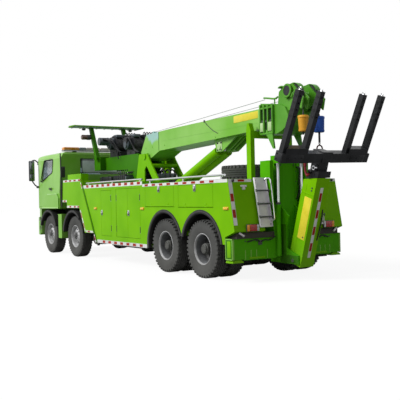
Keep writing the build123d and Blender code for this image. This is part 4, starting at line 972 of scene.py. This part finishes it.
# ==== hydraulic tank, valves and hoses in the crane well ====
# A black oil tank and a bank of valves stand on the well's floor between cab and tower. Hoses run
# from them to the winches and to a black pump block inside the tower.
bm = bmesh.new()
truck_block(bm, (2.75, -0.52, 1.452), (2.05, 0.52, 2.080), edge=0.030, steps=3)
truck_block(bm, (3.70, -0.24, 1.452), (2.85, 0.24, 2.140), edge=0.012)
truck_block(bm, (3.62, 0.30, 1.700), (2.90, 0.52, 2.060), edge=0.010, finish=1)
for number in range(6):
    station = 2.98 + 0.11 * number
    truck_block(bm, (station + 0.040, 0.29, 1.800), (station - 0.040, 0.535, 2.085), edge=0.008)
    truck_bar(bm, (station, 0.42, 2.080), (station + 0.02, 0.44, 2.200), 0.007, finish=3)
    truck_bar(bm, (station + 0.02, 0.44, 2.190), (station + 0.022, 0.442, 2.225), 0.014)
    truck_hose(bm, [(station, 0.34, 2.080), (station + 0.02, 0.33, 2.170), (station + 0.16, 0.24, 2.190),
                    (station + 0.34, 0.16, 2.160 - 0.01 * number), (4.05, 0.05 + 0.03 * number, 2.060),
                    (4.35, -0.06 + 0.05 * number, 2.040), (4.52, -0.10 + 0.05 * number, 2.250)], 0.013,
               finish=2)
truck_bar(bm, (2.25, -0.30, 2.075), (2.25, -0.30, 2.135), 0.060, sides=32)
for station in (2.22, 2.58):
    truck_block(bm, (station + 0.020, -0.528, 1.460), (station - 0.020, 0.528, 2.088), edge=0.004, finish=2)
for number in range(3):
    y = -0.18 + 0.13 * number
    truck_hose(bm, [(4.52, y, 2.02), (4.60, y, 2.15), (4.78, y + 0.02, 2.17), (4.90, y + 0.03, 2.06),
                    (4.955, y + 0.02, 1.78)], 0.018, finish=2)
truck_block(bm, (4.930, -0.270, 1.592), (4.420, 0.270, 1.940), edge=0.016)
truck_block(bm, (4.880, -0.200, 1.930), (4.500, 0.200, 2.075), edge=0.014, finish=1)
for number in range(5):
    y = -0.20 + 0.10 * number
    truck_bar(bm, (4.925, y, 1.86), (4.955, y, 1.86), 0.024, finish=1, sides=20)
    truck_hose(bm, [(4.940, y, 1.86), (4.985, y, 1.83), (4.975, y + 0.01, 1.72), (4.935, y + 0.02, 1.66)],
               0.012, finish=2)
truck_bar(bm, (4.60, 0.270, 1.80), (4.60, 0.305, 1.80), 0.075, finish=1, sides=32)
truck_bar(bm, (4.82, 0.270, 1.74), (4.82, 0.300, 1.74), 0.055, sides=32)
fit_piece(bm, "well_gear", "chassis", [satin_black, motor_grey, rubber, chrome])


# ==== fittings on the boom ====
# Black hoses clipped to the boom's sides, the welded seams and bands of its plates, blank yellow
# plates, the bolted ears that the lift cylinders push on, and the wire ropes that run over its top,
# in a pale grey that is a painted highlight along the boom's top edge.
yellow = surface("yellow_plate", (0.78, 0.68, 0.050), (0.68, 0.58, 0.030), patch=10.0, rough=(0.3, 0.45),
                 coat=0.1, grain=(300.0, 0.1), dust=(ROAD_DUST, 1.2, 0.2), gloss=0.3)
pad = surface("nylon_pad", (0.50, 0.68, 0.36), (0.38, 0.54, 0.24), patch=12.0, rough=(0.5, 0.7),
              grain=(260.0, 0.15))
BOOM_SIDE = 0.301
bm = bmesh.new()
for out in (1, -1):
    clip = BOOM_SIDE + 0.006
    truck_hose(bm, [(6.905, clip - 0.002, 3.060), (6.960, clip, 3.020), (7.077, clip, 2.930),
                    (7.258, clip, 2.820), (7.400, clip, 2.770)], 0.007, out)
    truck_bar(bm, (6.905, BOOM_SIDE, 3.040), (6.905, BOOM_SIDE, 3.085), 0.018, out)
    label = truck_block(bm, (8.770, BOOM_SIDE - 0.002, 2.908), (7.955, BOOM_SIDE + 0.003, 3.043), out,
                        edge=0.002, finish=2)
    for vert in label:
        vert.co.z += 0.025 * (at(7.955) - vert.co.x)
    # This band is in the darker green of the painted shade.
    truck_block(bm, (4.949, BOOM_SIDE - 0.004, 2.595), (4.931, BOOM_SIDE + 0.004, 3.028), out, edge=0.003,
                finish=4)
    truck_block(bm, (8.785, BOOM_SIDE - 0.003, 2.718), (8.735, BOOM_SIDE + 0.006, 3.078), out, edge=0.003,
                finish=3)
    seam = truck_block(bm, (8.70, BOOM_SIDE - 0.004, 2.805), (5.05, BOOM_SIDE + 0.002, 2.811), out, finish=3)
    for vert in seam:
        vert.co.z += 0.028 * (at(5.05) - vert.co.x) / 3.65
    for station in (4.30, 4.62, 5.20, 7.30):
        truck_bar(bm, (station, BOOM_SIDE - 0.002, 2.700), (station, BOOM_SIDE + 0.008, 2.700), 0.014, out,
                  finish=3, sides=6)
    truck_block(bm, (7.395, 0.1985, 2.422), (7.215, 0.208, 2.610), out, edge=0.006, finish=5)
    truck_bar(bm, (7.300, 0.200, 2.495), (7.300, 0.226, 2.495), 0.045, out, finish=5, sides=32)
    for station in (7.240, 7.370):
        for height in (2.445, 2.585):
            truck_bar(bm, (station, 0.204, height), (station, 0.220, height), 0.017, out, sides=6)
    # Painted highlight: the top ropes are in pale tread-plate grey, lighter than wire rope, to give the
    # bright line along the boom's top edge.
    truck_bar(bm, (4.45, 0.12, 3.077), (8.80, 0.19, 3.258), 0.0055, out, finish=6, sides=10)
    add_block(bm, (at(4.48), 0.135 * out - 0.045, 3.000), (at(4.42), 0.135 * out + 0.045, 3.086), edge=0.006,
              finish=3)
fit_piece(bm, "boom_fittings", "boom",
          [black_plastic, rope_steel, yellow, boom_sheen_green, painted_shade_green, pad, plate_grey])


# ==== sheave heads ====
# Welded head plates with cast steel sheaves between them, under bent guard strips. Ribbed collars
# hold the nylon wear pads where the sliding box leaves the outer one. Black plates fill the gaps
# between the head's ribs as painted shade.
def flat_ring(inner, outer, low, high):
    """Closed profile of a ring with a square section."""
    return [(inner, low), (outer, low), (outer, high), (inner, high), (inner, low)]


SHEAVE = (9.645, 0.180, 3.235)
bm = bmesh.new()
for out in (1, -1):
    for number, station in enumerate((8.835, 8.945, 9.060, 9.190)):
        truck_block(bm, (station + 0.016, 0.296, 2.625), (station - 0.016, 0.345, 3.150 - 0.012 * number),
                    out, edge=0.003)
    for first, last in ((8.852, 8.928), (8.962, 9.043), (9.078, 9.172)):
        # Painted shade: a black plate fills each gap between the ribs.
        truck_block(bm, (last, 0.298, 2.680), (first, 0.306, 3.080), out, edge=0.002, finish=1)
        if first != 8.962:
            truck_block(bm, (last + 0.004, 0.300, 2.655), (first - 0.004, 0.352, 2.815), out, edge=0.006,
                        finish=2)
        truck_bar(bm, ((first + last) / 2, 0.300, 2.840), ((first + last) / 2, 0.332, 2.840), 0.022, out,
                  finish=3, sides=6)
    for height, reach in ((2.600, 0.342), (3.060, 0.338)):
        truck_block(bm, (9.200, 0.296, height), (8.825, reach, height + 0.032), out, edge=0.004)
    middle = truck_place(SHEAVE, out)
    groove = [(0.058, -0.042), (0.148, -0.042), (0.186, -0.040), (0.190, -0.034), (0.176, -0.010),
              (0.172, 0.0), (0.176, 0.010), (0.190, 0.034), (0.186, 0.040), (0.148, 0.042), (0.058, 0.042),
              (0.058, -0.042)]
    add_turned(bm, groove, middle, finish=1)
    add_turned(bm, [(0.181, -0.008), (0.195, -0.006), (0.195, 0.006), (0.181, 0.008), (0.181, -0.008)],
               middle, sides=48, finish=4, start=20, turn=146)
    add_turned(bm, flat_ring(0.198, 0.206, -0.050, 0.050), middle, sides=48, start=8, turn=150)
    for y in (0.100, 0.262):
        face = 1 if y > 0.2 else -1
        boss = [(0.0, 0.0), (0.064, 0.0), (0.064, 0.010), (0.048, 0.016), (0.048, 0.026), (0.040, 0.030),
                (0.0, 0.030)]
        add_turned(bm, boss, (middle[0], y * out - 0.006 * out * face, middle[2]),
                   sides=32, facing=face * out)
    ring = [(0.080, 0.0), (0.122, 0.0), (0.122, 0.016), (0.114, 0.024), (0.090, 0.024), (0.080, 0.0)]
    add_turned(bm, [(0.0, 0.0), (0.084, 0.0), (0.084, 0.004), (0.0, 0.004)], (at(9.560), 0.2995 * out, 3.310),
               sides=40, finish=1)
    add_turned(bm, ring, (at(9.560), 0.285 * out, 3.310), sides=40)
    add_turned(bm, ring, (at(9.560), 0.300 * out, 3.310), sides=40, facing=-1)
    rim = flat_ring(0.150, 0.168, -0.016, 0.060)
    add_turned(bm, rim, (at(9.400), 0.240 * out, 3.250), sides=40,
               start=60, turn=150, facing=out)
    truck_hose(bm, [(8.790, 0.200, 3.290), (8.900, 0.205, 3.275), (9.060, 0.200, 3.240),
                    (9.150, 0.200, 3.236), (9.190, 0.200, 3.260)], 0.017, out)
fit_piece(bm, "sheave_head", "boom_extension",
          [head_green, satin_black, pad, hub_grey, rope_steel])


# ==== hoisting ropes and their end weights ====
# Steel wire ropes with moulded overhaul weights, one orange and one blue. The blue one's rope goes on
# through a short chain to a dark red ring.
orange = surface("orange_weight", (0.80, 0.40, 0.030), (0.66, 0.31, 0.020), patch=14.0, rough=(0.45, 0.6),
                 grain=(240.0, 0.2), gloss=0.3)
blue = surface("blue_weight", (0.020, 0.100, 0.480), (0.014, 0.070, 0.360), patch=14.0, rough=(0.45, 0.6),
               grain=(240.0, 0.2), gloss=0.3)
ring_red = surface("ring_red", (0.070, 0.006, 0.006), (0.036, 0.005, 0.005), patch=20.0, rough=(0.45, 0.65),
                   grain=(240.0, 0.3), gloss=0.3)


def round_link(reach, wire):
    """Profile of a closed ring of round wire."""
    turns = [k * math.pi / 4 for k in range(9)]
    return [(reach + wire * math.cos(turn), wire * math.sin(turn)) for turn in turns]


bm = bmesh.new()
drop = at(SHEAVE[0] + 0.193)
rope_side = SHEAVE[1]
body_of_weight = [(0.0, -0.140), (0.080, -0.140), (0.092, -0.132), (0.096, -0.118), (0.096, -0.104),
                  (0.090, -0.098), (0.092, 0.090), (0.098, 0.098), (0.098, 0.118), (0.092, 0.132),
                  (0.080, 0.140), (0.0, 0.140)]
for y, low, finish in ((rope_side, 2.560, 1), (-rope_side, 2.400, 2)):
    slim = 0.16 if finish == 1 else 0.04
    shape = [(radius * (1 - slim * (0.140 - along) / 0.280), along) for radius, along in body_of_weight]
    add_turned(bm, shape, (drop, y, 2.715), axis=(0, 0, 1), sides=40, finish=finish)
    add_bar(bm, (drop, y, 2.850), (drop, y, SHEAVE[2]), 0.0085, sides=12)
    add_bar(bm, (drop, y, low), (drop, y, 2.580), 0.0185, finish=3)
    add_bar(bm, (drop, y, 2.850), (drop, y, 2.900), 0.022, finish=3, end_radius=0.012)
    add_bar(bm, (drop, y, 2.550), (drop, y, 2.590), 0.018, finish=3)
for y, height, axis in ((rope_side, 2.545, (0, 1, 0)), (-rope_side, 2.430, (1, 0, 0)),
                        (-rope_side, 2.385, (0, 1, 0))):
    add_turned(bm, round_link(0.016, 0.0065), (drop, y, height), axis=axis, sides=20, finish=3)
add_turned(bm, round_link(0.062, 0.0125), (drop, -rope_side, 2.290), axis=(1, 0, 0), sides=48, finish=4)
lines_piece = fit_piece(bm, "hoist_ropes", "hook_lines",
                        [rope_steel, orange, blue, satin_black, ring_red])
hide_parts("hook_lines")


# ==== lamp wing ====
# Folded sheet wing above the cab, with a ribbed grey-green liner screwed to its underside and a
# rolled lip round its edge.
liner_green = surface("liner_green", (0.330, 0.520, 0.480), (0.240, 0.420, 0.340), patch=3.0,
                      rough=(0.4, 0.6), coat=0.05, grain=(140.0, 0.05), gloss=0.3)
bm = bmesh.new()
truck_block(bm, (1.645, -1.020, 3.460), (1.225, 1.020, 3.470), edge=0.003)
for number in range(9):
    y = -0.96 + 0.24 * number
    truck_block(bm, (1.640, y - 0.012, 3.446), (1.230, y + 0.012, 3.462), edge=0.004)
for out in (1, -1):
    truck_hose(bm, [(1.215, 1.040, 3.478), (1.400, 1.044, 3.482), (1.655, 1.040, 3.478)], 0.011, out,
               finish=1)
for station in (1.658, 1.212):
    truck_bar(bm, (station, -1.040, 3.480), (station, 1.040, 3.480), 0.011, finish=1)
fit_piece(bm, "wing_liner", "chassis", [liner_green, green])


# ==== ladders and tail lamps ====
# Folded aluminium step plates lean against the rear face, each with three steel rungs and a bent
# tube to hold. Amber, red and white lenses share one black case at each side. Black caps and bright
# brackets and pins are fixed beside them, and thin black rubber sheets on and behind the rear beam
# are painted shade under the body.
step_metal = surface("step_metal", (0.78, 0.76, 0.80), (0.58, 0.56, 0.60), patch=5.0, rough=(0.4, 0.6),
                     metal=0.2, grain=(90.0, 0.12), dust=(ROAD_DUST, 1.6, 0.2))
LADDER_LEAN = 0.2011
RUNG_STATION = 9.350
bm = bmesh.new()
for out in (1, -1):
    sheet = truck_block(bm, (9.302, 0.480, 0.950), (9.286, 0.735, 1.820), out, edge=0.003)
    for y in (0.474, 0.729):
        sheet += truck_block(bm, (9.334, y, 0.955), (9.290, y + 0.012, 1.815), out, edge=0.004)
    for number in range(12):
        sheet += truck_block(bm, (9.306, 0.500, 0.985 + 0.068 * number),
                             (9.300, 0.715, 0.992 + 0.068 * number), out, edge=0.002)
    for height in (1.13, 1.36, 1.59):
        sheet += truck_bar(bm, (RUNG_STATION, 0.470, height), (RUNG_STATION, 0.745, height), 0.0145, out,
                           finish=1)
        for ring in range(10):
            sheet += truck_bar(bm, (RUNG_STATION, 0.510 + 0.021 * ring, height),
                               (RUNG_STATION, 0.516 + 0.021 * ring, height), 0.0165, out, finish=1, sides=10)
        for y in (0.474, 0.738):
            sheet += truck_block(bm, (9.366, y - 0.004, height - 0.026), (9.318, y + 0.006, height + 0.026),
                                 out, edge=0.004, finish=1)
    for height in (1.00, 1.77):
        for y in (0.50, 0.715):
            sheet += truck_bar(bm, (9.300, y, height), (9.312, y, height), 0.010, out, finish=1, sides=6)
    for vert in set(sheet):
        vert.co.x += LADDER_LEAN * (vert.co.z - 0.950)
    truck_hose(bm, [(9.125, 0.490, 1.790), (9.180, 0.462, 1.815), (9.262, 0.460, 1.790),
                    (9.300, 0.460, 1.500), (9.352, 0.460, 1.120), (9.345, 0.462, 1.060),
                    (9.268, 0.492, 1.060)], 0.014, out, finish=2)
ladder_piece = fit_piece(bm, "step_ladders", "chassis", [step_metal, hub_grey, chrome])
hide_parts("ladders")

white_lens = lamp_lens("white_lens", (0.62, 0.64, 0.66), (0.50, 0.52, 0.54), rough=(0.12, 0.25))
bm = bmesh.new()
for out in (1, -1):
    truck_block(bm, (9.284, 0.745, 0.880), (9.256, 1.010, 1.010), out, edge=0.008)
    for first, last, finish in ((1.002, 0.948, 1), (0.944, 0.802, 2), (0.798, 0.752, 3)):
        truck_block(bm, (9.298, first, 0.890), (9.280, last, 1.000), out, edge=0.009, finish=finish, steps=3)
        for row in range(5):
            truck_block(bm, (9.301, first - 0.006, 0.900 + 0.020 * row),
                        (9.296, last + 0.006, 0.904 + 0.020 * row), out, finish=finish)
lamp_piece = fit_piece(bm, "lamp_clusters", "chassis",
                       [black_plastic, amber, red_lens, white_lens])
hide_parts("tail_lamps")
bm = bmesh.new()
for out in (1, -1):
    add_turned(bm, [(0.0, 0.0), (0.026, 0.0), (0.026, 0.018), (0.016, 0.028), (0.0, 0.030)],
               (at(9.082), 1.150 * out, 1.772), axis=(-1, 0, 0), sides=28)
    truck_block(bm, (9.130, 0.880, 1.655), (9.085, 1.000, 1.690), out, edge=0.008, finish=1)
    truck_block(bm, (9.126, 0.910, 1.610), (9.096, 0.970, 1.660), out, edge=0.006, finish=1)
    # Painted shade: thin black rubber sheets on top of the rear beam and behind it, where the body shades it.
    truck_block(bm, (9.172, 0.455, 0.7645), (8.990, 1.200, 0.7705), out, edge=0.002, finish=2)
    truck_block(bm, (8.990, 0.455, 0.7645), (8.975, 1.200, 0.8850), out, edge=0.004, finish=2)
    truck_bar(bm, (9.215, 1.130, 0.868), (9.235, 1.040, 0.806), 0.019, out, finish=1)
fit_piece(bm, "rear_fittings", "chassis", [black_plastic, step_metal, rubber])


# ==== mudflaps, tanks and pipes under the bodies ====
# Ribbed rubber flaps hang behind the last axle. Air tanks on straps, a plate with pipes and a flat
# tank between the rails fill the room behind the second axle. Black rubber strips under the bodies'
# sides are painted shadow of the frame.
TANK_OUT = 0.760
TANK_HEIGHT = 0.640
bm = bmesh.new()
for out in (1, -1):
    truck_block(bm, (8.850, 0.610, 0.300), (8.838, 1.215, 0.980), out, edge=0.004, finish=1)
    for number in range(5):
        y = 0.660 + 0.125 * number
        truck_bar(bm, (8.862, y, 0.330), (8.862, y, 0.940), 0.010, out, finish=1, sides=8)
    # Painted shadow: a black strip under each body's side.
    truck_block(bm, (5.900, 1.170, 0.424), (4.300, 1.236, 0.449), out, edge=0.004, finish=1)
    truck_bar(bm, (2.620, TANK_OUT, TANK_HEIGHT), (3.300, TANK_OUT, TANK_HEIGHT), 0.135, out, sides=32)
    for tip, end in ((2.600, 2.620), (3.320, 3.300)):
        truck_bar(bm, (tip, TANK_OUT, TANK_HEIGHT), (end, TANK_OUT, TANK_HEIGHT), 0.100, out, sides=32,
                  end_radius=0.135)
    for station in (2.76, 3.16):
        add_turned(bm, flat_ring(0.136, 0.141, -0.018, 0.018),
                   (at(station), TANK_OUT * out, TANK_HEIGHT), axis=(1, 0, 0), sides=32, finish=2)
        truck_block(bm, (station + 0.018, 0.440, 0.740), (station - 0.018, 0.780, 0.785), out, edge=0.004)
truck_block(bm, (3.420, 0.640, 0.400), (3.040, 1.120, 0.470), edge=0.012)
truck_bar(bm, (3.060, 1.040, 0.420), (3.360, 1.160, 0.400), 0.032, finish=2, sides=24)
truck_bar(bm, (2.960, 0.960, 0.395), (3.120, 1.080, 0.370), 0.018, finish=2)
truck_hose(bm, [(2.700, 1.000, 0.560), (2.900, 1.080, 0.430), (3.200, 1.140, 0.400), (3.480, 1.180, 0.430)],
           0.022)
truck_block(bm, (4.900, -0.500, 0.560), (3.600, 0.500, 0.720), edge=0.030)
fit_piece(bm, "chassis_gear", "chassis", [chassis_black, rubber, hub_grey])


# ==== lifting column ====
# Chromed rods at the back lift the column. Bolted wear strips and a bent hose run down its faces, and
# plates in the darker green line the jaw at its foot as painted shade on its sides.
bm = bmesh.new()
for out in (1, -1):
    truck_bar(bm, (9.225, 0.270, 1.345), (9.225, 0.270, 2.075), 0.0285, out, sides=28)
    add_turned(bm, [(0.029, 0.0), (0.046, 0.0), (0.046, 0.030), (0.040, 0.038), (0.029, 0.038), (0.029, 0.0)],
               (at(9.225), 0.270 * out, 1.338), axis=(0, 0, 1), sides=32, finish=1)
    for height in (2.040, 2.085):
        truck_bar(bm, (9.160, 0.150, height), (9.176, 0.150, height), 0.013, out, finish=1, sides=6)
    for number in range(3):
        height = 1.55 + 0.19 * number
        truck_bar(bm, (9.158, 0.195, height), (9.172, 0.195, height), 0.010, out, finish=1, sides=6)
    truck_block(bm, (9.168, 0.160, 1.400), (9.158, 0.222, 2.100), out, edge=0.003, finish=3)
# Painted shade: plates in the darker green over the jaw's side faces.
for out in (1, -1):
    for first, last, low, high in ((9.156, 9.326, 0.440, 0.985), (9.156, 9.636, 0.296, 0.438)):
        truck_block(bm, (last, 0.1840, low), (first, 0.1875, high), out, edge=0.001, finish=4)
truck_hose(bm, [(9.150, -0.215, 2.000), (9.215, -0.215, 2.020), (9.262, -0.222, 1.940),
                (9.240, -0.205, 1.760), (9.272, -0.212, 1.560), (9.180, -0.190, 1.420)], 0.013, finish=2)
fit_piece(bm, "column_fittings", "mast_column",
          [chrome, hub_grey, rubber, shaded_deep_green, painted_shade_green])


# ==== folded lifting arm ====
# The arm carries a blank yellow plate on each side and a strip of reflective film down its back.
# Keeper plates hold its foot pin, flat straps and bolts run along its sides, and a hose is clipped on.
ARM_FOOT = Matrix.Translation((at(9.505), 0, 0.350)) @ Matrix.Rotation(math.radians(-17.5), 4, "Y")
ARM_BACK = -0.165
bm = bmesh.new()
for out in (1, -1):
    add_block(bm, (-0.132, 0.150 * out, 0.415), (0.052, 0.1535 * out, 1.165), edge=0.001)
    add_block(bm, (-0.155, 0.149 * out, 1.215), (0.150, 0.156 * out, 1.235), edge=0.003, finish=3)
    for along in (0.02, 0.46, 1.30, 1.345):
        add_bar(bm, (-0.090, 0.148 * out, along), (-0.090, 0.162 * out, along), 0.013, finish=4, sides=6)
    keeper = [(0.0, 0.0), (0.034, 0.0), (0.034, 0.010), (0.026, 0.014), (0.026, 0.022), (0.0, 0.022)]
    add_turned(bm, keeper, (0, 0.189 * out, 0), sides=32, finish=4, facing=out)
    add_block(bm, (0.050, 0.149 * out, 0.100), (0.058, 0.153 * out, 1.380), finish=3)
add_block(bm, (-0.1665, -0.035, 0.105), (ARM_BACK, 0.030, 1.370), finish=1)
for number in range(4):
    add_block(bm, (-0.1675, -0.029, 0.225 + 0.300 * number), (ARM_BACK, 0.024, 0.375 + 0.300 * number),
              finish=2)
add_hose(bm, [(ARM_BACK, -0.110, 0.980), (-0.185, -0.112, 0.900), (-0.185, -0.112, 0.500),
              (ARM_BACK, -0.110, 0.420)], 0.011, finish=5)
bmesh.ops.transform(bm, matrix=ARM_FOOT, verts=bm.verts)
fit_piece(bm, "arm_plates", "lift_arm",
          [yellow, tape_white, tape_red, green, hub_grey, rubber])


# ==== neck, pins and hook of the crossbar ====
# Black castings at the arm's head: the neck with its bright pin, a red safety hook on a shackle,
# weld rings round the fork's pin holes and bright lifting eyes on the tips.
hook_red = surface("hook_red", (0.240, 0.008, 0.016), (0.150, 0.008, 0.012), patch=16.0, rough=(0.4, 0.6),
                   coat=0.1, grain=(240.0, 0.3), gloss=0.3)
NECK_PIN = 1.690
bm = bmesh.new()
add_bar(bm, (-0.045, 0.100, NECK_PIN), (-0.045, 0.172, NECK_PIN), 0.036, finish=1, sides=32)
add_bar(bm, (-0.045, 0.165, NECK_PIN), (-0.045, 0.180, NECK_PIN), 0.024, sides=6)
for height in (NECK_PIN - 0.050, NECK_PIN + 0.050):
    add_block(bm, (-0.090, 0.100, height - 0.012), (0.010, 0.150, height + 0.012), edge=0.006)
for out in (1, -1):
    for along in (1.545, 1.585):
        add_bar(bm, (-0.060, 0.135 * out, along), (-0.060, 0.150 * out, along), 0.012, sides=6)
add_hose(bm, [(0.040, 0.120, 1.560), (0.050, 0.170, 1.600), (0.020, 0.190, 1.640), (-0.030, 0.180, 1.620)],
         0.020)
bmesh.ops.transform(bm, matrix=ARM_FOOT, verts=bm.verts)
truck_hose(bm, [(9.900, 0.205, 2.105), (9.890, 0.205, 2.050), (9.885, 0.202, 1.960), (9.893, 0.200, 1.885),
                (9.920, 0.200, 1.832), (9.950, 0.200, 1.820), (9.972, 0.200, 1.850)], 0.0225, finish=2)
truck_bar(bm, (9.889, 0.204, 1.98), (9.893, 0.205, 2.06), 0.029, finish=2, sides=20)
add_turned(bm, round_link(0.030, 0.010), (at(9.905), 0.205, 2.120), sides=24)
fit_piece(bm, "neck_fittings", "arm_extension", [satin_black, chrome, hook_red])

bm = bmesh.new()
bar_place = ARM_FOOT @ Matrix.Rotation(math.radians(4), 4, "Z") @ Matrix.Translation((-0.060, 0, 1.890))
bar_place = bar_place @ Matrix.Rotation(math.radians(-7.5), 4, "Y")
for out in (1, -1):
    for y in (0.500 * out, 0.975 * out):
        add_turned(bm, round_link(0.022, 0.0078), (0, y, 1.132), sides=28, finish=1)
        add_bar(bm, (0, y, 1.094), (0, y, 1.112), 0.020, finish=1, sides=20)
        add_block(bm, (-0.049, y - 0.049, 1.095), (0.049, y + 0.049, 1.1115), edge=0.004)
        for number in range(4):
            hole = (0, y, 1.020 - 0.110 * number)
            for face in (1, -1):
                weld = [(0.0172, 0.0), (0.027, 0.0), (0.027, 0.003), (0.021, 0.005), (0.0172, 0.005),
                        (0.0172, 0.0)]
                add_turned(bm, weld, (0.048 * face, y, hole[2]), axis=(1, 0, 0),
                           sides=24, finish=2, facing=face)
                add_bar(bm, (0, y + 0.0475 * face, hole[2]), (0, y + 0.0492 * face, hole[2]), 0.021, finish=3,
                        sides=24)
                ring = [(0.020, 0.0), (0.027, 0.0), (0.027, 0.003), (0.020, 0.004), (0.020, 0.0)]
                add_turned(bm, ring, (0, y + 0.048 * face, hole[2]), sides=24,
                           finish=2, facing=face)
    add_block(bm, (-0.075, 1.036 * out, -0.075), (0.075, 1.046 * out, 0.075), edge=0.004)
    for z in (-0.045, 0.045):
        add_bar(bm, (0.045, 1.040 * out, z), (0.045, 1.060 * out, z), 0.013, finish=2, sides=6)
    add_block(bm, (-0.086, 0.560 * out, -0.060), (-0.081, 0.930 * out, 0.060), edge=0.003)
    for y in (0.60, 0.74, 0.88):
        add_bar(bm, (-0.084, y * out, 0.0), (-0.094, y * out, 0.0), 0.012, finish=2, sides=6)
bmesh.ops.transform(bm, matrix=bar_place, verts=bm.verts)
worn_black = surface("worn_black", (0.040, 0.042, 0.046), (0.014, 0.015, 0.017), patch=16.0,
                     rough=(0.35, 0.55), metal=0.3, grain=(200.0, 0.2), gloss=0.3)
fit_piece(bm, "fork_fittings", "crossbar", [satin_black, chrome, worn_black, rubber])


# ==== outrigger ends ====
# Welded frames round the open ends of the rear beam with plates set into them, the darker green ones
# painted shade inside the open ends, and hoses, ribs and bolts along its back.
BEAM_REAR = 9.178
bm = bmesh.new()
for out in (1, -1):
    for low, high in (((9.184, 0.396), (8.966, 0.416)), ((9.184, 0.744), (8.966, 0.764)),
                      ((9.184, 0.396), (9.166, 0.764)), ((8.984, 0.396), (8.966, 0.764))):
        truck_block(bm, (low[0], 1.215, low[1]), (high[0], 1.258, high[1]), out, edge=0.004)
    # Painted shade: a plate in the darker green inside each frame stands for the shade in the beam's open
    # end.
    truck_block(bm, (9.168, 1.236, 0.412), (8.982, 1.252, 0.748), out, edge=0.003, finish=3)
    truck_block(bm, (9.128, 1.248, 0.440), (9.022, 1.256, 0.722), out, edge=0.004, finish=4)
    truck_block(bm, (9.192, 0.560, 0.404), (BEAM_REAR, 0.900, 0.438), out, edge=0.005, finish=4)
    truck_block(bm, (9.194, 0.620, 0.640), (BEAM_REAR, 0.700, 0.720), out, edge=0.004, finish=1)
    for y in (0.50, 0.74, 0.86, 0.98):
        truck_bar(bm, (BEAM_REAR, y, 0.715), (9.192, y, 0.715), 0.013, out, finish=1, sides=6)
        truck_block(bm, (9.186, y - 0.009, 0.400), (BEAM_REAR, y + 0.009, 0.560), out, edge=0.003)
    truck_hose(bm, [(9.190, 0.640, 0.690), (9.225, 0.600, 0.740), (9.230, 0.480, 0.700),
                    (9.235, 0.360, 0.780)], 0.011, out, finish=2)
    truck_hose(bm, [(9.190, 0.680, 0.690), (9.225, 0.720, 0.745), (9.215, 0.860, 0.730),
                    (9.190, 0.940, 0.700)], 0.011, out, finish=2)
fit_piece(bm, "outrigger_frames", "chassis",
          [pale_sheen_green, hub_grey, rubber, painted_shade_green, green])
